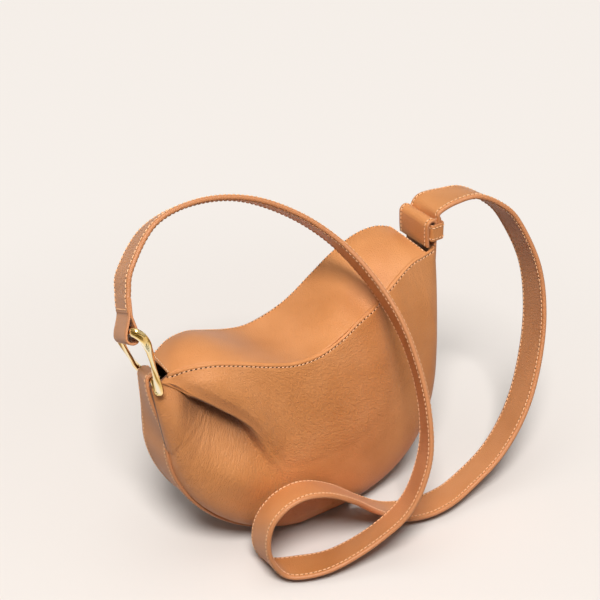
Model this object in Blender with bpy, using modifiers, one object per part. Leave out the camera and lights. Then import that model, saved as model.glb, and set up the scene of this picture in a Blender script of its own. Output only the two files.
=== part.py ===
# Leather shoulder bag: saddle shaped body, side band, twisted ring, long flat strap.
# Frame: X along the bag, ring end at -X, front face at -Y, +Z up, origin on the floor
# under the middle of the bag. All lengths are in metres.
import math
import bpy
import bmesh
from mathutils import Vector, Matrix

# Driving dimensions of the body
BAG_LENGTH = 0.232
BAG_DEPTH = 0.092
CORNER_HEIGHT = 0.192
SIDE_HEIGHT = 0.112
LEATHER = 0.0016
FABRIC = 0.0006
STIFFENER_THICKNESS = 0.0012
CLEARANCE = 0.0004

# Side band
BAND_WIDTH = 0.034
BAND_THICKNESS = 0.0026
BAND_FLAT_DROP = 0.0015
PANEL_TUCK = 0.0015
FOLD_TAIL = 0.0120
BLEND_REACH = 0.4

# Ring
RING_BAR = 0.0044
RING_HEIGHT = 0.0465

# Strap
STRAP_WIDTH = 0.034
STRAP_PLY = 0.0015
STRAP_GAP = 0.0003
LOOP_PLY = 0.0016
LOOP_HOLE_WIDTH = 0.0070
LOOP_SPLIT = 0.0115
LOOP_DROP = 0.0040
LOOP_NECK = 0.0110
LOOP_LEAN_SHARE = 0.5
STRAP_ENTRY = 0.0070
STRAP_ENTRY_LEAN = 0.10

# Keeper and tongue
TONGUE_HOLLOW = 0.0050
TONGUE_RISE = 0.0308
TONGUE_TUCK = 0.0168
TONGUE_LEAN_SHARE = 0.20
KEEPER_RISE = 0.0134
KEEPER_HEIGHT = 0.0136
KEEPER_WALL = 0.0013
KEEPER_CORNER = 0.0012

# Zip
ZIP_SLOT = 0.0090
ZIP_SEAM = 0.0008
ZIP_TAPE_HIDDEN = 0.0030
ZIP_TAPE_THICKNESS = 0.0005
TEETH_GAP = 0.0014
TEETH_WIDTH = 0.0015
TEETH_HEIGHT = 0.0013
SLIDER_LENGTH = 0.0100
SLIDER_WIDTH = 0.0066
SLIDER_PLATE = 0.0010
SLIDER_POST = 0.0008
PULL_WIDTH = 0.0080
PULL_LENGTH = 0.0300
PULL_THICKNESS = 0.0018
LINK_LENGTH = 0.0100
LINK_BAR = 0.0012
STAPLE_RISE = 0.0032
STAPLE_SHARE = 0.30
STOP_LENGTH = 0.0025
TAPE_HIDDEN_SHARE = 0.9

# Shares of the body's sizes, chosen by hand. Columns: x of half the length,
# y of half the depth, z of the corner height.
FRONT_SEAM_SHARES = [
    (-1.000, -0.370, 0.909), (-0.880, -0.455, 0.925), (-0.730, -0.580, 0.925),
    (-0.560, -0.680, 0.900), (-0.380, -0.765, 0.865), (-0.200, -0.808, 0.836),
    (-0.020, -0.810, 0.833), (0.160, -0.770, 0.859), (0.340, -0.700, 0.906),
    (0.500, -0.630, 0.943), (0.640, -0.560, 0.994), (0.790, -0.485, 1.031),
    (0.900, -0.430, 1.036), (1.000, -0.380, 1.043),
]
REAR_EDGE_SHARES = [
    (-0.905, 0.370, 0.895), (-0.790, 0.475, 0.909), (-0.640, 0.580, 0.896),
    (-0.480, 0.670, 0.857), (-0.320, 0.745, 0.820), (-0.160, 0.775, 0.803),
    (0.000, 0.780, 0.817), (0.160, 0.757, 0.857), (0.320, 0.715, 0.930),
    (0.480, 0.657, 1.008), (0.640, 0.580, 1.066), (0.780, 0.497, 1.083),
    (0.905, 0.400, 1.066),
]
ZIP_POINT_SHARES = [(-0.905, 0.370, 0.872), (-0.025, 0.930, 0.715), (0.935, 0.370, 1.000)]
CROWN_SHARES = [0.00, 0.05, 0.07, 0.03, -0.02, -0.02, 0.04, 0.06, 0.06, 0.03, 0.00]
RIM_POWER_LEFT = 1.75
RIM_POWER_RIGHT = 2.8
LEFT_SHARE = 0.14
RIGHT_SHARE = 0.18
SHOULDER_SHARE = 0.45
BELLY_TOP_SHARE = 0.26
BELLY_LOW_SHARE = 0.84
BELLY_TOP_REACH = 0.28
BELLY_POWER = 0.75
BACK_REACH = 0.30
YOKE_REACH = 0.35
TOP_START = 0.012
TOP_END_FRONT = 0.905
TOP_END_REAR = 0.985
GUSSET_START = 0.07
GUSSET_END = 0.93

# Tuck of the front panel: place of its crease on the panel, depth of the hollow
# below it and the hollow's reach. Columns: u, v, share of the bag's depth, share of the
# column's length.
TUCK_SHARES = [
    (0.000, 0.500, 0.000, 0.10), (0.040, 0.640, 0.010, 0.12), (0.080, 0.680, 0.045, 0.16),
    (0.120, 0.702, 0.090, 0.20), (0.160, 0.718, 0.140, 0.22), (0.200, 0.730, 0.180, 0.25),
    (0.240, 0.724, 0.195, 0.26), (0.280, 0.712, 0.185, 0.24), (0.320, 0.685, 0.140, 0.20),
    (0.360, 0.620, 0.075, 0.16), (0.400, 0.570, 0.022, 0.13), (0.440, 0.540, 0.000, 0.12),
]
TUCK_LIP_SHARE = 0.045
TUCK_SWELL_SHARE = 0.26
TUCK_FALL_POWER = 1.45
TUCK_FADE_ROWS = 2
LINING_EASE = 1.16

# Strap route: near edge of the strap and the lean of its width. Columns: x of the bag's
# length, y of its depth, z of the corner height, lean in x, lean in z.
STRAP_ROUTE_SHARES = [
    (-0.547, 0.033, 1.318, 0.15, -0.62),
    (-0.432, 0.157, 1.427, 0.11, -0.72), (-0.280, 0.157, 1.458, 0.08, -0.62),
    (-0.121, 0.083, 1.423, 0.11, -0.46), (0.015, -0.063, 1.337, 0.17, -0.42),
    (0.115, -0.255, 1.226, 0.28, -0.46), (0.169, -0.485, 1.113, 0.44, -0.68),
    (0.203, -0.724, 0.978, 0.49, -0.74), (0.219, -0.917, 0.813, 0.49, -0.52),
    (0.219, -1.075, 0.635, 0.48, -0.39), (0.197, -1.173, 0.448, 0.48, -0.28),
    (0.127, -1.190, 0.271, 0.55, -0.29), (0.032, -1.103, 0.150, 0.58, -0.34),
    (-0.096, -1.013, 0.070, 0.47, -0.32), (-0.190, -0.922, 0.040, 0.32, -0.21),
    (-0.253, -0.830, 0.055, 0.18, -0.22), (-0.300, -0.798, 0.163, 0.20, -0.32),
    (-0.297, -0.802, 0.286, 0.21, -0.40), (-0.252, -0.825, 0.359, 0.21, -0.37),
    (-0.181, -0.850, 0.386, 0.15, -0.33), (-0.097, -0.875, 0.361, 0.06, -0.24),
    (0.003, -0.868, 0.277, 0.01, -0.15), (0.116, -0.803, 0.148, 0.01, -0.12),
    (0.207, -0.826, 0.072, 0.08, -0.16), (0.299, -0.867, 0.050, 0.18, -0.22),
    (0.386, -0.889, 0.062, 0.22, -0.28), (0.475, -0.866, 0.088, 0.25, -0.34),
    (0.609, -0.861, 0.187, 0.26, -0.36), (0.716, -0.825, 0.332, 0.24, -0.34),
    (0.793, -0.741, 0.503, 0.22, -0.32), (0.841, -0.632, 0.697, 0.22, -0.31),
    (0.845, -0.513, 0.893, 0.22, -0.30), (0.794, -0.376, 1.081, 0.18, -0.27),
    (0.736, -0.300, 1.163, 0.17, -0.27), (0.657, -0.241, 1.212, 0.20, -0.24),
    (0.580, -0.196, 1.206, 0.20, -0.13),
]

# Ring centre line, as shares of the ring's height from the middle of its lower bar.
RING_SHARES = [
    (0.000, 0.000, 0.000), (-0.042, -0.122, 0.052), (-0.084, -0.243, 0.103),
    (-0.105, -0.304, 0.129), (-0.126, -0.365, 0.155), (-0.142, -0.475, 0.128),
    (-0.152, -0.562, 0.105), (-0.178, -0.598, 0.205), (-0.215, -0.580, 0.440),
    (-0.245, -0.570, 0.640), (-0.265, -0.552, 0.815), (-0.303, -0.510, 0.975),
    (-0.362, -0.470, 1.085), (-0.427, -0.397, 1.130), (-0.400, -0.278, 1.067),
    (-0.378, -0.182, 1.016), (-0.335, 0.011, 0.914), (-0.292, 0.201, 0.813),
    (-0.271, 0.296, 0.763), (-0.250, 0.390, 0.713), (-0.230, 0.455, 0.610),
    (-0.183, 0.460, 0.441), (-0.065, 0.458, 0.172), (0.048, 0.452, -0.060),
    (0.126, 0.365, -0.155), (0.105, 0.304, -0.129), (0.084, 0.243, -0.103),
    (0.042, 0.122, -0.052),
]
UPPER_BAR_SHARES = (-0.335, 0.011, 0.914)
RING_SEAT_SHARES = (-1.040, 0.000, 0.862)
LOWER_BAR_LEAN_X = 0.345
LOWER_BAR_LEAN_Z = -0.425
UPPER_BAR_LEAN_X = 0.225
UPPER_BAR_LEAN_Z = -0.530

# Mesh fineness
FOLD_STEPS = 8
TAIL_STEPS = 3
BLEND_STEPS = 10
ROUND_STEPS = 34
RISE_STEPS = 5
TUCK_STEPS = 4
LOOP_STEPS = 6
CORNER_STEPS = 3
STAPLE_STEPS = 8
RING_POINTS = len(RING_SHARES) * 2
PANEL_U = 34
PANEL_V = 12
BACK_V = 10
GUSSET_U = 44
GUSSET_V = 2
LINING_EDGE_ROWS = 3
TOP_U = 30
TOP_V = 7
YOKE_V = 4
TAPE_V = 4
ZIP_END_ROWS = 3
STRAP_STEPS = 112
STRAP_END_ROWS = 3
STRAP_FINE_STEPS = 8
RING_SIDES_RESOLUTION = 2
PULL_STEPS = 5
MAP_STEP = 0.002
WELD_DISTANCE = 0.00002
SHARP_DEGREES = 35

X_AXIS = Vector((1, 0, 0))
Y_AXIS = Vector((0, 1, 0))
Z_AXIS = Vector((0, 0, 1))
HALF_LENGTH = BAG_LENGTH / 2
HALF_DEPTH = BAG_DEPTH / 2
HALF_BAND = BAND_WIDTH / 2
RIM_LIFT = BAND_THICKNESS + CLEARANCE
TONGUE_TOP = CORNER_HEIGHT + TONGUE_RISE
KEEPER_Z = CORNER_HEIGHT + KEEPER_RISE


# Start from an empty scene
def clear_scene():
    for thing in list(bpy.data.objects):
        bpy.data.objects.remove(thing, do_unlink=True)


def body_point(shares):
    x, y, z = shares
    return Vector((x * HALF_LENGTH, y * HALF_DEPTH, z * CORNER_HEIGHT))


# A smooth curve through hand placed rows, read at t from 0 to 1
def spline(rows, t, closed=False):
    count = len(rows)
    spans = count if closed else count - 1
    place = min(max(t, 0.0), 1.0) * spans
    index = min(int(place), spans - 1)
    f = place - index

    def row(k):
        if closed:
            return rows[k % count]
        if k < 0:
            return [2 * a - b for a, b in zip(rows[0], rows[1])]
        if k >= count:
            return [2 * a - b for a, b in zip(rows[-1], rows[-2])]
        return rows[k]

    p0, p1, p2, p3 = row(index - 1), row(index), row(index + 1), row(index + 2)
    out = []
    for a, b, c, d in zip(p0, p1, p2, p3):
        out.append(b + (c - a) * f / 2 + (2 * a - 5 * b + 4 * c - d) * f * f / 2
                   + (3 * b - a - 3 * c + d) * f * f * f / 2)
    return out


def smooth_step(t):
    t = min(max(t, 0.0), 1.0)
    return t * t * (3 - 2 * t)


def mix(a, b, t):
    return a * (1 - t) + b * t


def bezier(p0, p1, p2, p3, t):
    q = 1 - t
    return p0 * q ** 3 + p1 * 3 * q * q * t + p2 * 3 * q * t * t + p3 * t ** 3


# Slower at both ends, so that the side of the rim shares its rows with the corner
def seam_share(u):
    return u - SHOULDER_SHARE * math.sin(2 * math.pi * u) / (2 * math.pi)


def front_seam(u):
    return body_point(spline(FRONT_SEAM_SHARES, seam_share(u)))


def rear_edge(u):
    return body_point(spline(REAR_EDGE_SHARES, seam_share(u)))


# Circle of the zip, through three points of the upper back
def zip_circle():
    a, m, b = [body_point(s) for s in ZIP_POINT_SHARES]
    normal = (b - a).cross(m - a).normalized()
    if normal.y < 0:
        normal = -normal
    ab = b - a
    am = m - a
    cross = ab.cross(am)
    to_centre = (cross.cross(ab) * am.length_squared + am.cross(cross) * ab.length_squared)
    centre = a + to_centre / (2 * cross.length_squared)
    return centre, normal, (a - centre).length, a, b


ZIP_CENTRE, ZIP_NORMAL, ZIP_RADIUS, ZIP_START, ZIP_END = zip_circle()
ZIP_DOWN = ((body_point(ZIP_POINT_SHARES[1]) - ZIP_CENTRE).normalized())
ZIP_ALONG = ZIP_NORMAL.cross(ZIP_DOWN).normalized()
if ZIP_ALONG.x < 0:
    ZIP_ALONG = -ZIP_ALONG


def zip_angle_of(point):
    arm = point - ZIP_CENTRE
    return math.atan2(arm.dot(ZIP_ALONG), arm.dot(ZIP_DOWN))


ZIP_A = zip_angle_of(ZIP_START)
ZIP_B = zip_angle_of(ZIP_END)


def zip_angle(u):
    return ZIP_A + (ZIP_B - ZIP_A) * seam_share(u)


def zip_radial(angle):
    return ZIP_ALONG * math.sin(angle) + ZIP_DOWN * math.cos(angle)


def zip_point(angle, out, lift):
    return ZIP_CENTRE + zip_radial(angle) * (ZIP_RADIUS + out) + ZIP_NORMAL * lift


ZIP_END_SHARE = ZIP_END_ROWS / PANEL_U


def zip_half_slot(u):
    edge = min(u, 1 - u)
    opening = smooth_step((edge - ZIP_END_SHARE / 2) / (ZIP_END_SHARE / 2))
    return mix(ZIP_SEAM / 2, ZIP_SLOT / 2, opening)


# Rim: the outline of the body's side, between the two corners. q is -1 at the front.
def rim_corner(q, left):
    front = front_seam(0.0 if left else 1.0)
    rear = zip_point(ZIP_A if left else ZIP_B, 0, 0)
    return mix(front, rear, (q + 1) / 2)


def rim(s, q, lift=0.0, half=None):
    half_width = HALF_BAND - PANEL_TUCK if half is None else half
    a = HALF_LENGTH - lift
    b = SIDE_HEIGHT - RIM_LIFT - lift
    y = q * half_width
    if s < LEFT_SHARE:
        f = s / LEFT_SHARE
        corner = rim_corner(q, True)
        low = Vector((-a, y, SIDE_HEIGHT))
        top = Vector((corner.x + lift, y, corner.z - lift))
        bow = Vector((mix(-a, (low.x + top.x) / 2, (q + 1) / 2), y, (top.z + low.z) / 2))
        return top * (1 - f) ** 2 + bow * 2 * f * (1 - f) + low * f * f
    if s > 1 - RIGHT_SHARE:
        f = (1 - s) / RIGHT_SHARE
        corner = rim_corner(q, False)
        low = Vector((a, y, SIDE_HEIGHT))
        top = Vector((corner.x - lift, y, corner.z - lift))
        bow = Vector((a, y, mix(corner.z, SIDE_HEIGHT, 0.5)))
        return top * (1 - f) ** 2 + bow * 2 * f * (1 - f) + low * f * f
    t = math.pi * (s - LEFT_SHARE) / (1 - LEFT_SHARE - RIGHT_SHARE)
    c = math.cos(t)
    power = 2 / (RIM_POWER_LEFT if c > 0 else RIM_POWER_RIGHT)
    x = -math.copysign(abs(c) ** power, c) * a
    z = SIDE_HEIGHT - abs(math.sin(t)) ** power * b
    return Vector((x, y, z))


def belly_share(u):
    return math.sin(math.pi * min(max(u, 0.0), 1.0)) ** BELLY_POWER


# How far the tuck pulls the front panel in at a place on it. The lining behind it
# follows the hollow, and passes the panel's lip in one soft curve.
def tuck_pull(u, v, soft):
    last = TUCK_SHARES[-1][0]
    if u >= last:
        return 0.0
    _, crease, depth, reach = spline(TUCK_SHARES, u / last)
    gap = v - crease
    if soft:
        depth *= LINING_EASE
    if gap < 0:
        return depth * BAG_DEPTH * math.exp(-(-gap / reach) ** TUCK_FALL_POWER)
    if soft:
        return depth * BAG_DEPTH * math.exp(-(gap / (3 * TUCK_LIP_SHARE)) ** 2)
    swell = math.exp(-((gap - 2 * TUCK_LIP_SHARE) / (2 * TUCK_LIP_SHARE)) ** 2)
    hollow = math.exp(-(gap / (TUCK_LIP_SHARE / 2)) ** 2)
    return depth * BAG_DEPTH * (hollow - TUCK_SWELL_SHARE * swell)


def front_surface(u, v, soft):
    top = front_seam(u)
    low = rim(u, -1)
    e = belly_share(u)
    fall = top.z - low.z
    p1 = top + Vector((0, -BELLY_TOP_SHARE * HALF_DEPTH * e, -BELLY_TOP_REACH * fall))
    p2 = low + Vector((0, -BELLY_LOW_SHARE * HALF_DEPTH * e, -CLEARANCE * e))
    point = bezier(low, p2, p1, top, v)
    point.y += tuck_pull(u, v, soft) * smooth_step(v * PANEL_V / TUCK_FADE_ROWS)
    return point


def front_panel_point(u, v):
    return front_surface(u, v, False)


def front_lining_point(u, v):
    return front_surface(u, v, True)


def back_panel_point(u, v):
    angle = zip_angle(u)
    slot = zip_half_slot(u)
    top = zip_point(angle, slot, 0)
    low = rim(u, 1)
    e = belly_share(u)
    reach = (top - low).length
    p1 = top + zip_radial(angle) * reach * BACK_REACH
    p2 = low + Vector((0, BELLY_LOW_SHARE * HALF_DEPTH * e, -CLEARANCE * e))
    return bezier(low, p2, p1, top, v)


def top_panel_point(u, v):
    w = mix(TOP_START, TOP_END_REAR, u)
    edge = front_seam(mix(TOP_START, TOP_END_FRONT, u))
    front = edge + Vector((0, LEATHER + CLEARANCE * 2, -CLEARANCE))
    rear = rear_edge(w)
    crown = spline([(c,) for c in CROWN_SHARES], seam_share(w))[0] * BAG_DEPTH
    across = rear - front
    up = X_AXIS.cross(across).normalized()
    return mix(front, rear, v) + up * crown * 4 * v * (1 - v)


def yoke_point(u, v):
    w = mix(TOP_START, TOP_END_REAR, u)
    angle = zip_angle(w)
    low = zip_point(angle, -zip_half_slot(w), 0)
    edge = rear_edge(w)
    top = edge + Vector((0, 0, -LEATHER - CLEARANCE * 2))
    reach = (top - low).length
    p1 = low - zip_radial(angle) * reach * YOKE_REACH
    return bezier(low, p1, mix(p1, top, 0.5), top, v)


# Normal of a mapped surface, by small steps
def surface_normal(place, u, v):
    h = MAP_STEP
    u0, u1 = max(u - h, 0.0), min(u + h, 1.0)
    v0, v1 = max(v - h, 0.0), min(v + h, 1.0)
    du = place(u1, v) - place(u0, v)
    dv = place(u, v1) - place(u, v0)
    return du.cross(dv).normalized()


def lifted(place, lift):
    def point(u, v):
        return place(u, v) + surface_normal(place, u, v) * lift
    return point


def window(place, u0, u1, v0, v1):
    def point(u, v):
        return place(mix(u0, u1, u), mix(v0, v1, v))
    return point


def flipped(place):
    def point(u, v):
        return place(1 - u, v)
    return point


MATERIALS = {}


def material(name, colour, roughness, metallic=0.0):
    if name not in MATERIALS:
        made = bpy.data.materials.new(name)
        made.use_nodes = True
        shader = made.node_tree.nodes["Principled BSDF"]
        shader.inputs["Base Color"].default_value = (*colour, 1.0)
        shader.inputs["Roughness"].default_value = roughness
        shader.inputs["Metallic"].default_value = metallic
        made.diffuse_color = (*colour, 1.0)
        MATERIALS[name] = made
    return MATERIALS[name]


def tan_leather():
    return material("tan_leather", (0.56, 0.25, 0.11), 0.45)


def gold():
    return material("polished_gold", (0.85, 0.62, 0.28), 0.15, 1.0)


def lining_cloth():
    return material("beige_lining", (0.55, 0.44, 0.32), 0.9)


def zip_cloth():
    return material("brown_zip_tape", (0.26, 0.12, 0.06), 0.8)


def board():
    return material("stiffener_board", (0.30, 0.24, 0.18), 0.8)


PARTS = None


def add_object(name, mesh, look):
    mesh.materials.append(look)
    thing = bpy.data.objects.new(name, mesh)
    PARTS.objects.link(thing)
    mesh.shade_smooth()
    mesh.set_sharp_from_angle(angle=math.radians(SHARP_DEGREES))
    return thing


# An open surface over the unit square, thickened away from its normals
def sheet(name, place, steps_u, steps_v, thickness, look, outward=False):
    bm = bmesh.new()
    bmesh.ops.create_grid(bm, x_segments=steps_u, y_segments=steps_v, size=0.5)
    for vert in bm.verts:
        vert.co = place(vert.co.x + 0.5, vert.co.y + 0.5)
    bmesh.ops.remove_doubles(bm, verts=bm.verts, dist=WELD_DISTANCE)
    mesh = bpy.data.meshes.new(name)
    bm.to_mesh(mesh)
    bm.free()
    thing = add_object(name, mesh, look)
    wall = thing.modifiers.new("wall", "SOLIDIFY")
    wall.thickness = thickness
    wall.offset = 1.0 if outward else -1.0
    wall.use_even_offset = True
    return thing


# A flat strip along a route: centre, width direction
def ribbon_point(route, width):
    def point(u, v):
        centre, across = route(u)
        return centre + across * (v - 0.5) * width
    return point


def build_panels():
    sheet("front_panel", front_panel_point, PANEL_U, PANEL_V, LEATHER, tan_leather())
    sheet("back_panel", flipped(back_panel_point), PANEL_U, BACK_V, LEATHER, tan_leather())
    sheet("top_panel", top_panel_point, TOP_U, TOP_V, LEATHER, tan_leather())
    sheet("back_yoke", flipped(yoke_point), TOP_U, YOKE_V, LEATHER, tan_leather())


def gusset_point(lift, half):
    def point(u, v):
        return rim(mix(GUSSET_START, GUSSET_END, u), v * 2 - 1, lift, half)
    return point


def build_side():
    lift = LEATHER + CLEARANCE * 2
    sheet("side_gusset", gusset_point(lift, HALF_BAND), GUSSET_U, GUSSET_V, LEATHER,
          tan_leather(), outward=True)


# Lower bar of the ring, held in the band's fold
def bar_frame(lean_x, lean_z):
    along = Vector((lean_x, 1, lean_z)).normalized()
    up = (Z_AXIS - along * Z_AXIS.dot(along)).normalized()
    return along, up, along.cross(up)


LOWER_BAR = body_point(RING_SEAT_SHARES)
LOWER_ALONG, LOWER_UP, LOWER_RIGHT = bar_frame(LOWER_BAR_LEAN_X, LOWER_BAR_LEAN_Z)
FOLD_RADIUS = RING_BAR / 2 + CLEARANCE + BAND_THICKNESS / 2


def ring_point(t):
    return LOWER_BAR + Vector(spline(RING_SHARES, t, closed=True)) * RING_HEIGHT


# Tongue: the band's right end, folded over the keeper
TONGUE_RADIUS = TONGUE_HOLLOW / 2 + BAND_THICKNESS / 2
BAND_OUT = CLEARANCE + BAND_THICKNESS / 2
TONGUE_X = HALF_LENGTH + BAND_OUT
TONGUE_ARC_Z = TONGUE_TOP - BAND_THICKNESS / 2 - TONGUE_RADIUS


def band_rows():
    rows = []
    for k in range(TAIL_STEPS):
        drop = FOLD_TAIL * (1 - k / TAIL_STEPS)
        rows.append((LOWER_BAR + LOWER_RIGHT * FOLD_RADIUS - LOWER_UP * drop, LOWER_ALONG))
    for k in range(FOLD_STEPS + 1):
        a = math.pi * k / FOLD_STEPS
        arm = LOWER_RIGHT * math.cos(a) + LOWER_UP * math.sin(a)
        rows.append((LOWER_BAR + arm * FOLD_RADIUS, LOWER_ALONG))
    start = LOWER_BAR - LOWER_RIGHT * FOLD_RADIUS
    end = rim(LEFT_SHARE, 0, -BAND_OUT)
    drop = start.z - end.z
    for k in range(1, BLEND_STEPS):
        f = k / BLEND_STEPS
        reach = drop * BLEND_REACH
        centre = bezier(start, start - LOWER_UP * reach, end + Z_AXIS * reach, end, f)
        rows.append((centre, mix(LOWER_ALONG, Y_AXIS, smooth_step(f)).normalized()))
    floor = BAND_THICKNESS / 2
    span = 1 - LEFT_SHARE - RIGHT_SHARE
    for k in range(ROUND_STEPS + 1):
        point = rim(LEFT_SHARE + span * k / ROUND_STEPS, 0, -BAND_OUT - BAND_FLAT_DROP)
        point.x *= (HALF_LENGTH + BAND_OUT) / (HALF_LENGTH + BAND_OUT + BAND_FLAT_DROP)
        point.z = max(point.z, floor)
        rows.append((point, Y_AXIS))
    for k in range(1, RISE_STEPS + 1):
        rows.append((Vector((TONGUE_X, 0, mix(SIDE_HEIGHT, TONGUE_ARC_Z, k / RISE_STEPS))), Y_AXIS))
    for k in range(1, FOLD_STEPS + 1):
        a = math.pi * k / FOLD_STEPS
        x = TONGUE_X - TONGUE_RADIUS + TONGUE_RADIUS * math.cos(a)
        rows.append((Vector((x, 0, TONGUE_ARC_Z + TONGUE_RADIUS * math.sin(a))), Y_AXIS))
    last = rows[-1][0]
    for k in range(1, TUCK_STEPS + 1):
        f = k / TUCK_STEPS
        rows.append((last + Vector((TONGUE_HOLLOW * TONGUE_LEAN_SHARE * f * f, 0, -TONGUE_TUCK * f)),
                     Y_AXIS))
    return rows


def row_route(rows):
    count = len(rows) - 1

    def route(u):
        place = u * count
        k = min(int(place), count - 1)
        f = place - k
        (a, wa), (b, wb) = rows[k], rows[k + 1]
        return mix(a, b, f), mix(wa, wb, f).normalized()
    return route, count


def centred(place, thickness):
    return lifted(place, thickness / 2)


def build_band():
    route, count = row_route(band_rows())
    place = ribbon_point(route, BAND_WIDTH)
    sheet("side_band", centred(place, BAND_THICKNESS), count, 1, BAND_THICKNESS, tan_leather())


# Ring of round bar, closed
def curve_object(name, points, radius, closed, look, resolution=RING_SIDES_RESOLUTION):
    data = bpy.data.curves.new(name, "CURVE")
    data.dimensions = "3D"
    data.bevel_depth = radius
    data.bevel_resolution = resolution
    data.use_fill_caps = not closed
    line = data.splines.new("POLY")
    line.points.add(len(points) - 1)
    for spot, point in zip(line.points, points):
        spot.co = (*point, 1.0)
    line.use_cyclic_u = closed
    data.materials.append(look)
    thing = bpy.data.objects.new(name, data)
    PARTS.objects.link(thing)
    return thing


def place_origin(thing, pivot):
    thing.data.transform(Matrix.Translation(-pivot))
    thing.location = pivot


def build_ring():
    points = [ring_point(k / RING_POINTS) for k in range(RING_POINTS)]
    ring = curve_object("twisted_ring", points, RING_BAR / 2, True, gold())
    place_origin(ring, LOWER_BAR)


# Strap end loop round the ring's upper bar
UPPER_ALONG, UPPER_UP, UPPER_RIGHT = bar_frame(UPPER_BAR_LEAN_X, UPPER_BAR_LEAN_Z)
UPPER_BAR = LOWER_BAR + Vector(UPPER_BAR_SHARES) * RING_HEIGHT
STRAP_BODY = STRAP_PLY * 2 + STRAP_GAP


def strap_rows():
    rows = []
    for x, y, z, lean_x, lean_z in STRAP_ROUTE_SHARES:
        across = Vector((lean_x, 1, lean_z)).normalized()
        edge = Vector((x * BAG_LENGTH, y * BAG_DEPTH, z * CORNER_HEIGHT))
        centre = edge + across * STRAP_WIDTH / 2
        centre.z = max(centre.z, STRAP_BODY / 2 + abs(across.z) * STRAP_WIDTH / 2)
        rows.append((*centre, *across))
    start = UPPER_BAR + LOOP_UP * (LOOP_SPLIT + LOOP_NECK + CLEARANCE)
    rows.insert(0, (*start, *UPPER_ALONG))
    x = TONGUE_X + BAND_THICKNESS / 2 + CLEARANCE + STRAP_BODY / 2
    top = KEEPER_Z + KEEPER_HEIGHT
    lean = Vector((STRAP_ENTRY_LEAN, 1, 0)).normalized()
    rows.append((x + STRAP_BODY, 0, top + STRAP_ENTRY, *lean))
    rows.append((x, 0, top + STRAP_ENTRY / 4, *Y_AXIS))
    rows.append((x, 0, top - KEEPER_HEIGHT / 2, *Y_AXIS))
    rows.append((x, 0, KEEPER_Z + CLEARANCE, *Y_AXIS))
    return rows


def loop_frame():
    x, y, z, lean_x, lean_z = STRAP_ROUTE_SHARES[0]
    across = Vector((lean_x, 1, lean_z)).normalized()
    edge = Vector((x * BAG_LENGTH, y * BAG_DEPTH, z * CORNER_HEIGHT))
    aim = edge + across * STRAP_WIDTH / 2 - UPPER_BAR
    up = (aim - UPPER_ALONG * aim.dot(UPPER_ALONG)).normalized()
    up = (up * LOOP_LEAN_SHARE + UPPER_UP * (1 - LOOP_LEAN_SHARE)).normalized()
    return up, UPPER_ALONG.cross(up)


LOOP_UP, LOOP_RIGHT = loop_frame()
LOOP_RADIUS = LOOP_HOLE_WIDTH / 2 + LOOP_PLY / 2


# Half the loop's width at a height above the bar, to the middle of its wall
def loop_across(height):
    f = (LOOP_SPLIT - height) / (LOOP_SPLIT + LOOP_DROP)
    return mix((LOOP_PLY + STRAP_GAP) / 2, LOOP_RADIUS, smooth_step(f))


def loop_rows():
    side = []
    for k in range(3):
        height = LOOP_SPLIT + LOOP_NECK * (1 - k / 3)
        side.append((loop_across(LOOP_SPLIT), height))
    for k in range(LOOP_STEPS):
        height = mix(LOOP_SPLIT, -LOOP_DROP, k / LOOP_STEPS)
        side.append((loop_across(height), height))
    quarter = FOLD_STEPS // 2
    for k in range(quarter + 1):
        a = math.pi / 2 * k / quarter
        side.append((LOOP_RADIUS * math.cos(a), -LOOP_DROP - LOOP_RADIUS * math.sin(a)))
    flat = [(-x, z) for x, z in side] + [(x, z) for x, z in reversed(side[:-1])]
    shift = loop_across(0) - LOOP_PLY / 2 - RING_BAR / 2 - CLEARANCE
    centre = UPPER_BAR + LOOP_RIGHT * shift
    return [(centre + LOOP_RIGHT * x + LOOP_UP * z, UPPER_ALONG) for x, z in flat]


def build_loop():
    route, count = row_route(loop_rows())
    place = ribbon_point(route, STRAP_WIDTH)
    loop = sheet("strap_end_loop", centred(place, LOOP_PLY), count, 1, LOOP_PLY, tan_leather())
    place_origin(loop, UPPER_BAR)


def strap_route(u):
    row = spline(strap_rows_cache(), u)
    return Vector(row[:3]), Vector(row[3:]).normalized()


STRAP_ROWS = []


def strap_rows_cache():
    if not STRAP_ROWS:
        STRAP_ROWS.extend(strap_rows())
    return STRAP_ROWS


# Evenly spaced places along the strap
def even_places(route, steps):
    fine = steps * STRAP_FINE_STEPS
    points = [route(k / fine)[0] for k in range(fine + 1)]
    lengths = [0.0]
    for a, b in zip(points, points[1:]):
        lengths.append(lengths[-1] + (b - a).length)
    total = lengths[-1]
    places = []
    k = 0
    for n in range(steps + 1):
        want = total * n / steps
        while k < fine - 1 and lengths[k + 1] < want:
            k += 1
        f = (want - lengths[k]) / max(lengths[k + 1] - lengths[k], CLEARANCE * CLEARANCE)
        places.append((k + f) / fine)
    return places, total


# The last rows are stations too, so that the strap is straight inside its keeper
def strap_places():
    places, total = even_places(strap_route, STRAP_STEPS)
    spans = len(strap_rows_cache()) - 1
    held = [1 - k / spans for k in range(STRAP_END_ROWS, -1, -1)]
    kept = [t for t in places if t < held[0] - 0.5 / STRAP_STEPS]
    return kept + held, total


def build_strap():
    places, total = strap_places()
    print("strap length, mm:", round(total * 1000))
    count = len(places) - 1

    def route(u):
        place = u * count
        k = min(int(place), count - 1)
        return strap_route(mix(places[k], places[k + 1], place - k))

    place = ribbon_point(route, STRAP_WIDTH)
    sheet("strap_inner_ply", lifted(place, -STRAP_GAP / 2), count, 1, STRAP_PLY, tan_leather())
    sheet("strap_outer_ply", lifted(place, STRAP_GAP / 2), count, 1, STRAP_PLY, tan_leather(),
          outward=True)


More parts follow.
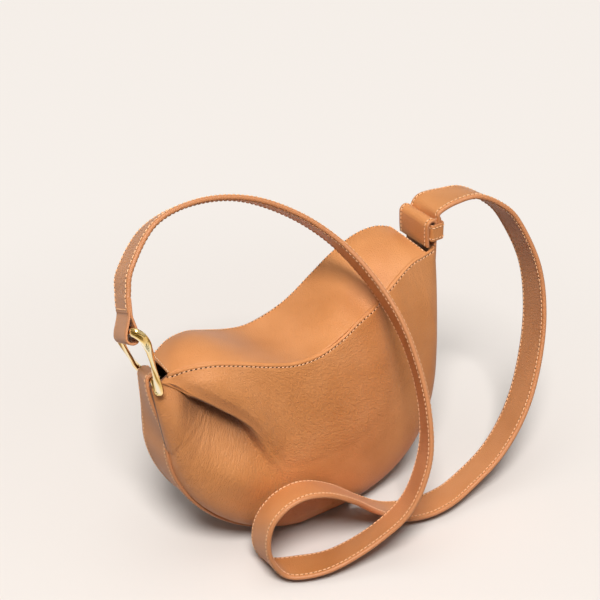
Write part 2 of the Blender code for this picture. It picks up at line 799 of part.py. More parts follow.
# Keeper: a flat band round the tongue and the strap's end
def build_keeper():
    x0 = TONGUE_X - BAND_THICKNESS / 2 - TONGUE_HOLLOW + CLEARANCE * 2 + KEEPER_WALL
    x1 = TONGUE_X + BAND_THICKNESS / 2 + CLEARANCE + STRAP_BODY + CLEARANCE
    half_x = (x1 - x0) / 2
    half_y = BAND_WIDTH / 2 + CLEARANCE
    centre_x = (x0 + x1) / 2
    corner = KEEPER_CORNER
    outline = []
    for cx, cy, start in ((1, 1, 0), (-1, 1, 90), (-1, -1, 180), (1, -1, 270)):
        for k in range(CORNER_STEPS + 1):
            a = math.radians(start + 90 * k / CORNER_STEPS)
            outline.append((cx * (half_x - corner) + corner * math.cos(a),
                            cy * (half_y - corner) + corner * math.sin(a)))
    outline.append(outline[0])
    count = len(outline) - 1

    def place(u, v):
        spot = u * count
        k = min(int(round(spot)), count)
        x, y = outline[k]
        return Vector((centre_x + x, y, KEEPER_Z + v * KEEPER_HEIGHT))

    sheet("keeper_loop", place, count, 1, KEEPER_WALL, tan_leather(), outward=True)


# Zip
def arc_strip(name, out0, out1, lift, thickness, a0, a1, steps, look):
    def place(u, v):
        return zip_point(mix(a1, a0, u), mix(out0, out1, v), lift)
    probe = surface_normal(place, 0.5, 0.5)
    keep = place if probe.dot(ZIP_NORMAL) > 0 else flipped(place)
    return sheet(name, keep, steps, 1, thickness, look)


def zip_frame(angle):
    radial = zip_radial(angle)
    tangent = ZIP_ALONG * math.cos(angle) - ZIP_DOWN * math.sin(angle)
    return radial, tangent


def outline_object(name, outline, half, matrix, look):
    data = bpy.data.curves.new(name, "CURVE")
    data.dimensions = "2D"
    data.fill_mode = "BOTH"
    data.extrude = half
    line = data.splines.new("POLY")
    line.points.add(len(outline) - 1)
    for spot, (x, y) in zip(line.points, outline):
        spot.co = (x, y, 0.0, 1.0)
    line.use_cyclic_u = True
    data.materials.append(look)
    thing = bpy.data.objects.new(name, data)
    PARTS.objects.link(thing)
    thing.matrix_world = matrix
    return thing


TAPE_LIFT = -LEATHER - CLEARANCE


def yoke_of_share(w, v):
    return yoke_point((w - TOP_START) / (TOP_END_REAR - TOP_START), v)


# A zip tape: flat across the slot, then behind the leather's edge
def tape_point(leather, way):
    def point(u, v):
        w = mix(ZIP_END_SHARE, 1 - ZIP_END_SHARE, u)
        if v <= 0.5:
            out = mix(TEETH_GAP / 2, zip_half_slot(w), 2 * v)
            return zip_point(zip_angle(w), way * out, TAPE_LIFT)
        edge = 1.0 if way > 0 else 0.0
        far = 0.0 if way > 0 else 1.0
        reach = (leather(w, edge) - leather(w, far)).length
        share = ZIP_TAPE_HIDDEN * (2 * v - 1) / (reach * TAPE_HIDDEN_SHARE)
        place = flipped(leather)
        spot = edge - way * share
        return leather(w, spot) + surface_normal(place, 1 - w, spot) * TAPE_LIFT
    return point


TEETH_LIFT = TAPE_LIFT + CLEARANCE + TEETH_HEIGHT


def build_zip():
    a0 = zip_angle(ZIP_END_SHARE)
    a1 = zip_angle(1 - ZIP_END_SHARE)
    steps = PANEL_U - 2 * ZIP_END_ROWS
    gap = TEETH_GAP / 2
    sides = (("zip_tape_lower", back_panel_point, 1), ("zip_tape_upper", yoke_of_share, -1))
    for name, place, way in sides:
        tape = tape_point(place, way)
        probe = surface_normal(tape, 0.5, 0.25)
        if probe.dot(ZIP_NORMAL) < 0:
            tape = flipped(tape)
        sheet(name, tape, steps, TAPE_V, ZIP_TAPE_THICKNESS, zip_cloth())
    inset = STOP_LENGTH * 2 / ZIP_RADIUS
    t0, t1 = a0 + inset, a1 - inset
    arc_strip("zip_teeth_lower", gap, gap + TEETH_WIDTH, TEETH_LIFT, TEETH_HEIGHT, t0, t1, steps,
              gold())
    arc_strip("zip_teeth_upper", -gap - TEETH_WIDTH, -gap, TEETH_LIFT, TEETH_HEIGHT, t0, t1, steps,
              gold())
    half = STOP_LENGTH / 2 / ZIP_RADIUS
    space = CLEARANCE / ZIP_RADIUS
    reach = gap + TEETH_WIDTH
    for name, edge, way in (("zip_stop_left", t0, -1), ("zip_stop_right", t1, 1)):
        middle = edge + way * (half + space)
        arc_strip(name, -reach, reach, TEETH_LIFT, TEETH_HEIGHT, middle - half, middle + half, 2,
                  gold())
    slider_angle = t1 - (SLIDER_LENGTH / 2 + CLEARANCE) / ZIP_RADIUS
    build_slider(slider_angle)
    travel = slider_angle - t0 - (SLIDER_LENGTH / 2 + CLEARANCE) / ZIP_RADIUS
    print("zip travel, rad:", round(travel, 4))


def build_slider(angle):
    radial, tangent = zip_frame(angle)
    top = TEETH_LIFT + CLEARANCE
    bottom = TAPE_LIFT - ZIP_TAPE_THICKNESS - CLEARANCE
    half = SLIDER_WIDTH / 2
    post = SLIDER_POST / 2
    outline = [(-half, top + SLIDER_PLATE), (-half, top), (-post, top), (-post, bottom),
               (-half, bottom), (-half, bottom - SLIDER_PLATE), (half, bottom - SLIDER_PLATE),
               (half, bottom), (post, bottom), (post, top), (half, top), (half, top + SLIDER_PLATE)]
    matrix = Matrix((radial, ZIP_NORMAL, radial.cross(ZIP_NORMAL))).transposed().to_4x4()
    matrix.translation = zip_point(angle, 0, 0)
    outline_object("zip_slider", outline, SLIDER_LENGTH / 2, matrix, gold())
    # Staple on the slider, in the plane of its travel
    base = top + SLIDER_PLATE + CLEARANCE + LINK_BAR / 2
    arch = []
    for k in range(STAPLE_STEPS + 1):
        a = math.pi * k / STAPLE_STEPS
        along = math.cos(a) * SLIDER_LENGTH * STAPLE_SHARE
        rise = math.sin(a) * STAPLE_RISE
        arch.append(zip_point(angle, 0, base + rise) + tangent * along)
    curve_object("slider_staple", arch, LINK_BAR / 2, False, gold(), 1)
    axis = zip_point(angle, 0, base + STAPLE_RISE - LINK_BAR - CLEARANCE)
    build_pull(axis, radial, tangent)
    print("pull axis:", [round(c, 5) for c in axis], [round(c, 5) for c in radial])


def build_pull(axis, radial, tangent):
    half = PULL_WIDTH / 2 + LINK_BAR / 2 + CLEARANCE
    corner = LINK_BAR
    points = []
    for cx, cy, start in ((1, 1, 0), (0, 1, 90), (0, -1, 180), (1, -1, 270)):
        for k in range(3):
            a = math.radians(start + 45 * k)
            along = mix(corner, LINK_LENGTH - corner, cx) + corner * math.cos(a)
            side = cy * (half - corner) + corner * math.sin(a)
            points.append(axis - tangent * along + radial * side)
    link = curve_object("pull_link", points, LINK_BAR / 2, True, gold(), 1)
    place_origin(link, axis)
    far = axis - tangent * LINK_LENGTH
    fold = LINK_BAR / 2 + CLEARANCE + PULL_THICKNESS / 4
    rows = []
    close = PULL_THICKNESS / 4 + STRAP_GAP / 2
    lift = ZIP_NORMAL
    tip = PULL_LENGTH
    for k in range(PULL_STEPS):
        f = k / PULL_STEPS
        rows.append((far - tangent * mix(tip, fold * 3, f) + lift * close, radial))
    rows.append((far - tangent * fold + lift * fold, radial))
    for k in range(1, PULL_STEPS + 1):
        a = math.pi * k / (PULL_STEPS + 1)
        rows.append((far + tangent * fold * math.sin(a) + lift * fold * math.cos(a), radial))
    rows.append((far - tangent * fold - lift * fold, radial))
    for k in reversed(range(PULL_STEPS)):
        f = k / PULL_STEPS
        rows.append((far - tangent * mix(tip, fold * 3, f) - lift * close, radial))
    route, count = row_route(rows)
    place = ribbon_point(route, PULL_WIDTH)
    tab = sheet("zip_pull_tab", centred(place, PULL_THICKNESS / 2), count, 1, PULL_THICKNESS / 2,
                tan_leather())
    place_origin(tab, axis)


# A part of a panel's surface that keeps to the panel's own rows
def row_window(place, steps_u, steps_v, u_rows, v_rows):
    part = window(place, u_rows[0] / steps_u, u_rows[1] / steps_u,
                  v_rows[0] / steps_v, v_rows[1] / steps_v)
    return part, u_rows[1] - u_rows[0], v_rows[1] - v_rows[0]


# Inside: lining, pocket and stiffener
def build_inside():
    deep = LEATHER + CLEARANCE
    front = lifted(front_lining_point, -deep)
    back = lifted(flipped(back_panel_point), -deep)
    edge = LINING_EDGE_ROWS
    sheet("lining_front", *row_window(front, PANEL_U, PANEL_V, (edge * 2, PANEL_U - edge * 2),
                                      (3, PANEL_V - 1)), FABRIC, lining_cloth())
    sheet("lining_back", *row_window(back, PANEL_U, BACK_V, (edge, PANEL_U - edge),
                                     (2, BACK_V - 2)), FABRIC, lining_cloth())
    pocket = lifted(flipped(back_panel_point), -deep - FABRIC - CLEARANCE)
    third = PANEL_U // 3
    sheet("slip_pocket", *row_window(pocket, PANEL_U, BACK_V, (third, PANEL_U - third),
                                     (3, BACK_V - 3)), FABRIC, lining_cloth())
    lift = LEATHER * 2 + CLEARANCE * 3
    sheet("lining_gusset", *row_window(gusset_point(lift, HALF_BAND - PANEL_TUCK), GUSSET_U, 1,
                                       (2, GUSSET_U - 2), (0, 1)), FABRIC, lining_cloth(), outward=True)
    lift += FABRIC + CLEARANCE
    third = GUSSET_U // 3 + 1
    sheet("base_stiffener", *row_window(gusset_point(lift, HALF_BAND - PANEL_TUCK), GUSSET_U, 1,
                                        (third, GUSSET_U - third), (0, 1)),
          STIFFENER_THICKNESS, board(), outward=True)


def build_all():
    global PARTS
    clear_scene()
    PARTS = bpy.data.collections.new("shoulder_bag")
    bpy.context.scene.collection.children.link(PARTS)
    build_panels()
    build_side()
    build_band()
    build_ring()
    build_loop()
    build_strap()
    build_keeper()
    build_zip()
    build_inside()


build_all()
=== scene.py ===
import math
import bpy
import bmesh
from mathutils import Vector, Matrix


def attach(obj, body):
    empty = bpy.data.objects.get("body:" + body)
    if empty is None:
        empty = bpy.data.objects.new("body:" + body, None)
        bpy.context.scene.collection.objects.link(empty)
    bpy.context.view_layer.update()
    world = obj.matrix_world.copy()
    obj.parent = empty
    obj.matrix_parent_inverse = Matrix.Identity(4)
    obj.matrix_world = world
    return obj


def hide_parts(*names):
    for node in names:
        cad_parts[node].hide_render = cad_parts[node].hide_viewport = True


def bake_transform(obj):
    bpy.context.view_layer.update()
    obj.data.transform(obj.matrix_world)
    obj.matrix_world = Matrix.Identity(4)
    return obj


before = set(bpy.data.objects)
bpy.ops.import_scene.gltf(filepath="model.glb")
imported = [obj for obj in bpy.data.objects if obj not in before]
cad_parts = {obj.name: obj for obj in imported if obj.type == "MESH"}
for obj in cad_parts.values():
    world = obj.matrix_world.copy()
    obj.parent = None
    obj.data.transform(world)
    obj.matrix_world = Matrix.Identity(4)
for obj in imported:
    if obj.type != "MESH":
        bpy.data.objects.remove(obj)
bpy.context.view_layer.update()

# Camera
CAMERA_PLACE = Vector((-0.6309, -0.9111, 0.8516))
CAMERA_TURN = math.radians(35)
CAMERA_RISE = math.radians(31)
CAMERA_LENS = 108

# Body
BAG_LENGTH = 0.232
BAG_DEPTH = 0.092
CORNER_HEIGHT = 0.192
SIDE_HEIGHT = 0.112
LEATHER = 0.0016
CLEARANCE = 0.0004
TOP_PANEL_LENGTH = 0.215

# Side band, ring, strap and loop
BAND_WIDTH = 0.034
BAND_THICKNESS = 0.0026
BAND_FLAT_DROP = 0.0015
PANEL_TUCK = 0.0015
FOLD_TAIL = 0.0120
BLEND_REACH = 0.4
GUSSET_SPAN = (0.07, 0.93)
RING_BAR = 0.0044
RING_HEIGHT = 0.0465
STRAP_WIDTH = 0.034
STRAP_PLY = 0.0015
STRAP_GAP = 0.0003
LOOP_PLY = 0.0016
LOOP_HOLE_WIDTH = 0.0070
LOOP_SPLIT = 0.0115
LOOP_DROP = 0.0040
LOOP_NECK = 0.0110
NECK_SINK = 0.00025
NECK_START = 0.0012
CROSS_ROW = 0.0032

# Keeper and tongue
TONGUE_HOLLOW = 0.0050
TONGUE_TOP = 0.2228
TONGUE_TUCK = 0.0168
KEEPER_Z = 0.2054
KEEPER_HEIGHT = 0.0136
KEEPER_WALL = 0.0013
KEEPER_CORNER = 0.0012
STRAP_ENTRY = 0.0070
STRAP_ENTRY_LEAN = 0.20

# Zip
ZIP_SLOT = 0.0090
ZIP_SEAM = 0.0008
ZIP_TAPE_HIDDEN = 0.0030
ZIP_TAPE_THICKNESS = 0.0005
TAPE_HIDDEN_SHARE = 0.9
TEETH_GAP = 0.0014
TEETH_WIDTH = 0.0015
TEETH_HEIGHT = 0.0013
TOOTH_PITCH = 0.0021
TOOTH_LENGTH_SHARE = 0.62
TOOTH_BEVEL = 0.00022
STOP_LENGTH = 0.0025
PULL_WIDTH = 0.0080
PULL_LENGTH = 0.0300
PULL_THICKNESS = 0.0018
PULL_BULGE = 0.6
PULL_BARE_ROWS = 6
LINK_LENGTH = 0.0100
LINK_BAR = 0.0012
SLIDER_LENGTH = 0.0100
SLIDER_PLATE = 0.0010
STAPLE_RISE = 0.0032

# Sewing: pitches, the thread, the painted shade of its needle holes, and the rows' distances from the
# edges
STITCH_PITCH = 0.0034
FINE_PITCH = 0.0030
PULL_PITCH = 0.0026
STITCH_BAR = 0.00036
STITCH_LIFT = 0.00010
STITCH_SINK = 0.00008
STITCH_GROOVE = 0.00022
FLOOR_CLEAR = 0.00003
SEAM_HOLE = 0.00078
STRAP_HOLE = 0.00056
HOLE_SHAPE = (1.0, 0.85, 1 / 3)
SEAM_TILT = 0.28
PULL_INSET = 0.0014
KEEPER_STITCH_INSET = 0.0022
ZIP_STITCH_INSET = 0.0022
STRAP_STITCH_INSET = 0.0028
SEAM_STITCH_INSET = 0.0032

# Strips: round of an edge in halves of its thickness, places across the groove under a row
# of stitches as shares of half the flat, and the distance at which points are joined
STRIP_ROUND = 0.8
GROOVE = (-0.035, -0.018, 0.0, 0.018, 0.035)
JOIN = 0.000002
SHEET_JOIN = 0.00002

# Folded edges: how far an edge turns down, and over what distance
SEAM_ROLL = (0.0006, 0.0010)
REAR_ROLL = (0.0009, 0.0011)
END_ROLL = (0.0007, 0.0010)
SLOT_ROLL = (0.0008, 0.0011)

# Shares of the body's sizes. Columns: x of half the length, y of half the depth,
# z of the corner height.
FRONT_SEAM_SHARES = [
    (-1.000, -0.370, 0.909), (-0.880, -0.455, 0.925), (-0.730, -0.580, 0.925),
    (-0.560, -0.680, 0.900), (-0.380, -0.765, 0.865), (-0.200, -0.808, 0.836),
    (-0.020, -0.810, 0.833), (0.160, -0.770, 0.859), (0.340, -0.700, 0.906),
    (0.500, -0.630, 0.943), (0.640, -0.560, 0.994), (0.790, -0.485, 1.031),
    (0.900, -0.430, 1.036), (1.000, -0.380, 1.043),
]
REAR_EDGE_SHARES = [
    (-0.905, 0.370, 0.895), (-0.790, 0.475, 0.909), (-0.640, 0.580, 0.896),
    (-0.480, 0.670, 0.857), (-0.320, 0.745, 0.820), (-0.160, 0.775, 0.803),
    (0.000, 0.780, 0.817), (0.160, 0.757, 0.857), (0.320, 0.715, 0.930),
    (0.480, 0.657, 1.008), (0.640, 0.580, 1.066), (0.780, 0.497, 1.083),
    (0.905, 0.400, 1.066),
]
ZIP_POINT_SHARES = [(-0.905, 0.370, 0.872), (-0.025, 0.930, 0.715), (0.935, 0.370, 1.000)]
CROWN_SHARES = [0.00, 0.05, 0.07, 0.03, -0.02, -0.02, 0.04, 0.06, 0.06, 0.03, 0.00]
RIM_POWER_LEFT = 1.75
RIM_POWER_RIGHT = 2.8
SHOULDER_SHARE = 0.45
BELLY_TOP_SHARE = 0.26
BELLY_LOW_SHARE = 0.84
BELLY_TOP_REACH = 0.28
BELLY_POWER = 0.75
BACK_REACH = 0.30
YOKE_REACH = 0.35
LEFT_SHARE = 0.14
RIGHT_SHARE = 0.18
TOP_START = 0.012
TOP_CORNER = (-0.0050, 0, -0.0035)
TOP_CORNER_REACH = 0.09
LEFT_SWELL_SHARES = (-0.121, -0.098, -0.020)
LEFT_SWELL_REACH = 0.15
LEFT_SWELL_POWER = 0.88
TOP_END_FRONT = 0.905
TOP_END_REAR = 0.985

# Tuck of the front panel: place of the crease on the panel, depth below it,
# reach of the hollow and overhang of the lip. Columns: u, v, depth, reach, lip.
TUCK_SHARES = [
    (0.000, 0.560, 0.0008, 0.004, 0.0005), (0.030, 0.682, 0.0020, 0.004, 0.0016),
    (0.060, 0.748, 0.0030, 0.005, 0.0028), (0.090, 0.773, 0.0040, 0.007, 0.0036),
    (0.120, 0.776, 0.0062, 0.012, 0.0042), (0.160, 0.776, 0.0108, 0.021, 0.0048),
    (0.200, 0.770, 0.0152, 0.029, 0.0050), (0.240, 0.756, 0.0174, 0.033, 0.0048),
    (0.280, 0.738, 0.0168, 0.032, 0.0042), (0.315, 0.704, 0.0138, 0.028, 0.0028),
    (0.345, 0.650, 0.0092, 0.023, 0.0012), (0.368, 0.590, 0.0042, 0.018, 0.0003),
    (0.390, 0.540, 0.0000, 0.014, 0.0000),
]

# Strap route: near edge of the strap and the lean of its width. Columns: x of the bag's
# length, y of its depth, z of the corner height, lean in x, lean in z.
STRAP_ROUTE_SHARES = [
    (-0.547, 0.033, 1.318, 0.15, -0.62),
    (-0.432, 0.157, 1.427, 0.11, -0.72), (-0.280, 0.157, 1.458, 0.08, -0.62),
    (-0.121, 0.083, 1.423, 0.11, -0.46), (0.015, -0.063, 1.337, 0.17, -0.42),
    (0.115, -0.255, 1.226, 0.28, -0.46), (0.169, -0.485, 1.113, 0.44, -0.68),
    (0.203, -0.724, 0.978, 0.49, -0.74), (0.219, -0.917, 0.813, 0.49, -0.52),
    (0.219, -1.075, 0.635, 0.48, -0.39), (0.197, -1.173, 0.448, 0.48, -0.28),
    (0.127, -1.190, 0.271, 0.55, -0.29), (0.032, -1.103, 0.150, 0.58, -0.34),
    (-0.096, -1.013, 0.070, 0.47, -0.32), (-0.190, -0.922, 0.040, 0.32, -0.21),
    (-0.253, -0.830, 0.055, 0.18, -0.22), (-0.300, -0.798, 0.163, 0.20, -0.32),
    (-0.297, -0.802, 0.286, 0.21, -0.40), (-0.252, -0.825, 0.359, 0.21, -0.37),
    (-0.181, -0.850, 0.386, 0.15, -0.33), (-0.097, -0.875, 0.361, 0.06, -0.24),
    (0.003, -0.868, 0.277, 0.01, -0.15), (0.116, -0.803, 0.148, 0.01, -0.12),
    (0.207, -0.826, 0.072, 0.08, -0.16), (0.299, -0.867, 0.050, 0.18, -0.22),
    (0.386, -0.889, 0.062, 0.22, -0.28), (0.475, -0.866, 0.088, 0.25, -0.34),
    (0.609, -0.861, 0.187, 0.26, -0.36), (0.716, -0.825, 0.332, 0.24, -0.34),
    (0.793, -0.741, 0.503, 0.22, -0.32), (0.841, -0.632, 0.697, 0.22, -0.31),
    (0.845, -0.513, 0.893, 0.22, -0.30), (0.794, -0.376, 1.081, 0.18, -0.27),
    (0.736, -0.300, 1.163, 0.17, -0.27), (0.657, -0.241, 1.212, 0.23, -0.24),
    (0.580, -0.196, 1.203, 0.30, -0.15),
]

# Ring centre line, as shares of the ring's height from the middle of its lower bar.
RING_SHARES = [
    (0.000, 0.000, 0.000), (-0.042, -0.122, 0.052), (-0.084, -0.243, 0.103),
    (-0.105, -0.304, 0.129), (-0.126, -0.365, 0.155), (-0.142, -0.475, 0.128),
    (-0.152, -0.562, 0.105), (-0.178, -0.598, 0.205), (-0.215, -0.580, 0.440),
    (-0.245, -0.570, 0.640), (-0.265, -0.552, 0.815), (-0.303, -0.510, 0.975),
    (-0.362, -0.470, 1.085), (-0.427, -0.397, 1.130), (-0.400, -0.278, 1.067),
    (-0.378, -0.182, 1.016), (-0.335, 0.011, 0.914), (-0.292, 0.201, 0.813),
    (-0.271, 0.296, 0.763), (-0.250, 0.390, 0.713), (-0.230, 0.455, 0.610),
    (-0.183, 0.460, 0.441), (-0.065, 0.458, 0.172), (0.048, 0.452, -0.060),
    (0.126, 0.365, -0.155), (0.105, 0.304, -0.129), (0.084, 0.243, -0.103),
    (0.042, 0.122, -0.052),
]
UPPER_BAR_SHARES = (-0.335, 0.011, 0.914)
RING_SEAT_SHARES = (-1.040, 0.000, 0.862)
LOWER_BAR_LEAN = (0.345, -0.425)
UPPER_BAR_LEAN = (0.225, -0.530)
LOOP_LEAN_SHARE = 0.5
TONGUE_LEAN_SHARE = 0.20

# The leather is held within this distance of the seam and this share of the panel's foot
SEAM_HOLD = 0.012
FOOT_HOLD = 0.10

# Small folds round the tuck's middle, the swell of its lip, and the painted shade of its hollow: how
# dark it is and how far down it reaches
TUCK_CENTRE_U = 0.245
TUCK_SPAN = 0.40
TUCK_FOLD = 0.0004
TUCK_FOLD_START = 0.004
TUCK_FOLD_REACH = 0.052
TUCK_SWELL = 0.34
TUCK_FALL_POWER = 1.45
HOLLOW_SHADE = 0.92
PAINTED_SHADE_REACH = 0.014

# Swellings of the front panel, beside the ring's foot and below the tuck's right end.
# Columns: height, u, reach in u, v, reach in v.
FRONT_SWELLS = [(0.0026, 0.095, 0.060, 0.48, 0.24), (0.0036, 0.31, 0.045, 0.45, 0.09)]

# Fold that the strap's weight leaves below the seam, with a swelling on each side.
# Columns: distance from the fold in u, height, reach in u.
STRAP_FOLD_U = 0.652
STRAP_FOLD_SLANT = 0.02
STRAP_FOLDS = [(0.0, -0.0012, 0.018), (-0.045, 0.0016, 0.030), (0.045, 0.0010, 0.030)]
RIPPLE = 0.00014

# Dent of the top panel beside the strap that crosses above it, and the swelling next to it.
# Columns: height, u, reach in u, v where it ends.
TOP_DENTS = [(-0.0022, 0.655, 0.035, 0.55), (0.0012, 0.58, 0.05, 0.70)]

# What is padded above the seam's stitches and drawn in along them
SEAM_PAD = 0.00045
SEAM_DRAW = 0.00035
END_DRAW = 0.00025

# Share of creases that all of the leather shows, and what the marks add to it
CREASE_PLAIN = 0.12
CREASE_MARKED = 0.8

# Mesh fineness
FRONT_STEPS = (300, 190)
TOP_STEPS = (170, 48)
BACK_STEPS = (150, 60)
YOKE_STEPS = (150, 16)
GUSSET_STEPS = (160, 8)
TAPE_STEPS = (140, 8)
COLUMN_STEPS = 12
TAIL_STEPS = 8
FOLD_STEPS = 24
BLEND_STEPS = 24
ROUND_STEPS = 120
RISE_STEPS = 24
TUCK_STEPS = 8
STRAP_STEPS = 700
NECK_STEPS = 24
LOOP_NECK_STEPS = 8
LOOP_STEPS = 18
CORNER_STEPS = 8
EDGE_STEPS = 6
PULL_STEPS = 30
SEAM_LINE_STEPS = 400
EDGE_LINE_STEPS = 300
END_LINE_STEPS = 60
CROSS_LINE_STEPS = 40
HALVINGS = 18
CREASE_ROW_SHARE = 0.52

# The zip ends this many of the panels' rows before their ends
PANEL_U = 34
ZIP_END_ROWS = 3

X_AXIS = Vector((1, 0, 0))
Y_AXIS = Vector((0, 1, 0))
Z_AXIS = Vector((0, 0, 1))
HALF_LENGTH = BAG_LENGTH / 2
HALF_DEPTH = BAG_DEPTH / 2
HALF_BAND = BAND_WIDTH / 2
RIM_LIFT = BAND_THICKNESS + CLEARANCE
STRAP_BODY = STRAP_PLY * 2 + STRAP_GAP


def body_point(shares):
    x, y, z = shares
    return Vector((x * HALF_LENGTH, y * HALF_DEPTH, z * CORNER_HEIGHT))


# A smooth curve through given rows, read at t from 0 to 1
def spline(rows, t, closed=False):
    count = len(rows)
    spans = count if closed else count - 1
    place = min(max(t, 0.0), 1.0) * spans
    index = min(int(place), spans - 1)
    f = place - index

    def row(k):
        if closed:
            return rows[k % count]
        if k < 0:
            return [2 * a - b for a, b in zip(rows[0], rows[1])]
        if k >= count:
            return [2 * a - b for a, b in zip(rows[-1], rows[-2])]
        return rows[k]

    p0, p1, p2, p3 = row(index - 1), row(index), row(index + 1), row(index + 2)
    out = []
    for a, b, c, d in zip(p0, p1, p2, p3):
        out.append(b + (c - a) * f / 2 + (2 * a - 5 * b + 4 * c - d) * f * f / 2
                   + (3 * b - a - 3 * c + d) * f * f * f / 2)
    return out


def smooth_step(t):
    t = min(max(t, 0.0), 1.0)
    return t * t * (3 - 2 * t)


def mix(a, b, t):
    return a * (1 - t) + b * t


def hump(x, middle, reach):
    return math.exp(-((x - middle) / reach) ** 2)


def bezier(p0, p1, p2, p3, t):
    q = 1 - t
    return p0 * q ** 3 + p1 * 3 * q * q * t + p2 * 3 * q * t * t + p3 * t ** 3


# Slower at both ends, so that the side of the rim shares its rows with the corner
def seam_share(u):
    return u - SHOULDER_SHARE * math.sin(2 * math.pi * u) / (2 * math.pi)


KEPT = {}


# Each column's curve is worked out once
def kept(kind, u, make):
    key = (kind, round(u, 6))
    if key not in KEPT:
        KEPT[key] = make(u)
    return KEPT[key]


def front_seam(u):
    return body_point(spline(FRONT_SEAM_SHARES, seam_share(u)))


def rear_edge(u):
    return body_point(spline(REAR_EDGE_SHARES, seam_share(u)))


# Circle of the zip, through three points of the upper back
def zip_circle():
    a, m, b = [body_point(s) for s in ZIP_POINT_SHARES]
    normal = (b - a).cross(m - a).normalized()
    if normal.y < 0:
        normal = -normal
    ab = b - a
    am = m - a
    cross = ab.cross(am)
    to_centre = (cross.cross(ab) * am.length_squared + am.cross(cross) * ab.length_squared)
    centre = a + to_centre / (2 * cross.length_squared)
    return centre, normal, (a - centre).length, a, b


ZIP_CENTRE, ZIP_NORMAL, ZIP_RADIUS, ZIP_START, ZIP_END = zip_circle()
ZIP_DOWN = (body_point(ZIP_POINT_SHARES[1]) - ZIP_CENTRE).normalized()
ZIP_ALONG = ZIP_NORMAL.cross(ZIP_DOWN).normalized()
if ZIP_ALONG.x < 0:
    ZIP_ALONG = -ZIP_ALONG


def zip_angle_of(point):
    arm = point - ZIP_CENTRE
    return math.atan2(arm.dot(ZIP_ALONG), arm.dot(ZIP_DOWN))


ZIP_A = zip_angle_of(ZIP_START)
ZIP_B = zip_angle_of(ZIP_END)


def zip_angle(u):
    return ZIP_A + (ZIP_B - ZIP_A) * seam_share(u)


def zip_radial(angle):
    return ZIP_ALONG * math.sin(angle) + ZIP_DOWN * math.cos(angle)


def zip_tangent(angle):
    return ZIP_ALONG * math.cos(angle) - ZIP_DOWN * math.sin(angle)


def zip_point(angle, out, lift):
    return ZIP_CENTRE + zip_radial(angle) * (ZIP_RADIUS + out) + ZIP_NORMAL * lift


ZIP_END_SHARE = ZIP_END_ROWS / PANEL_U


def zip_half_slot(u):
    edge = min(u, 1 - u)
    opening = smooth_step((edge - ZIP_END_SHARE / 2) / (ZIP_END_SHARE / 2))
    return mix(ZIP_SEAM / 2, ZIP_SLOT / 2, opening)


# Rim: the outline of the body's side, between the two corners. q is -1 at the front.
def rim_corner(q, left):
    front = front_seam(0.0 if left else 1.0)
    rear = zip_point(ZIP_A if left else ZIP_B, 0, 0)
    return mix(front, rear, (q + 1) / 2)


def rim(s, q, lift=0.0, half=None):
    half_width = HALF_BAND - PANEL_TUCK if half is None else half
    a = HALF_LENGTH - lift
    b = SIDE_HEIGHT - RIM_LIFT - lift
    y = q * half_width
    if s < LEFT_SHARE:
        f = s / LEFT_SHARE
        corner = rim_corner(q, True)
        low = Vector((-a, y, SIDE_HEIGHT))
        top = Vector((corner.x + lift, y, corner.z - lift))
        bow = Vector((mix(-a, (low.x + top.x) / 2, (q + 1) / 2), y, (top.z + low.z) / 2))
        return top * (1 - f) ** 2 + bow * 2 * f * (1 - f) + low * f * f
    if s > 1 - RIGHT_SHARE:
        f = (1 - s) / RIGHT_SHARE
        corner = rim_corner(q, False)
        low = Vector((a, y, SIDE_HEIGHT))
        top = Vector((corner.x - lift, y, corner.z - lift))
        bow = Vector((a, y, mix(corner.z, SIDE_HEIGHT, 0.5)))
        return top * (1 - f) ** 2 + bow * 2 * f * (1 - f) + low * f * f
    t = math.pi * (s - LEFT_SHARE) / (1 - LEFT_SHARE - RIGHT_SHARE)
    c = math.cos(t)
    power = 2 / (RIM_POWER_LEFT if c > 0 else RIM_POWER_RIGHT)
    x = -math.copysign(abs(c) ** power, c) * a
    z = SIDE_HEIGHT - abs(math.sin(t)) ** power * b
    return Vector((x, y, z))


# Left edge of the front panel: it swells out over the band's front edge
def front_rim(u):
    point = rim(u, -1, -0.8 * BAND_FLAT_DROP)
    point.z = max(point.z, RIM_LIFT)
    fade = max(1 - u / LEFT_SWELL_REACH, 0.0) ** LEFT_SWELL_POWER
    return point + body_point(LEFT_SWELL_SHARES) * fade


def belly_share(u):
    return math.sin(math.pi * min(max(u, 0.0), 1.0)) ** BELLY_POWER


def front_column(u):
    top = front_seam(u)
    low = front_rim(u)
    e = belly_share(u)
    fall = top.z - low.z
    p1 = top + Vector((0, -BELLY_TOP_SHARE * HALF_DEPTH * e, -BELLY_TOP_REACH * fall))
    p2 = low + Vector((0, -BELLY_LOW_SHARE * HALF_DEPTH * e, -CLEARANCE * e))
    return low, p2, p1, top


def front_base(u, v):
    return bezier(*kept("front", u, front_column), v)


def back_column(u):
    angle = zip_angle(u)
    top = zip_point(angle, zip_half_slot(u), 0)
    low = rim(u, 1)
    e = belly_share(u)
    p1 = top + zip_radial(angle) * (top - low).length * BACK_REACH
    p2 = low + Vector((0, BELLY_LOW_SHARE * HALF_DEPTH * e, -CLEARANCE * e))
    return low, p2, p1, top


def back_base(u, v):
    return bezier(*kept("back", u, back_column), v)


def top_column(u):
    w = mix(TOP_START, TOP_END_REAR, u)
    edge = front_seam(mix(TOP_START, TOP_END_FRONT, u))
    front = edge + Vector((0, LEATHER * 0.45, -0.00010))
    rear = rear_edge(w) + Vector(TOP_CORNER) * max(1 - u / TOP_CORNER_REACH, 0.0) ** 2
    crown = spline([(c,) for c in CROWN_SHARES], seam_share(w))[0] * BAG_DEPTH
    up = X_AXIS.cross(rear - front).normalized()
    return front, rear, up * crown * 4


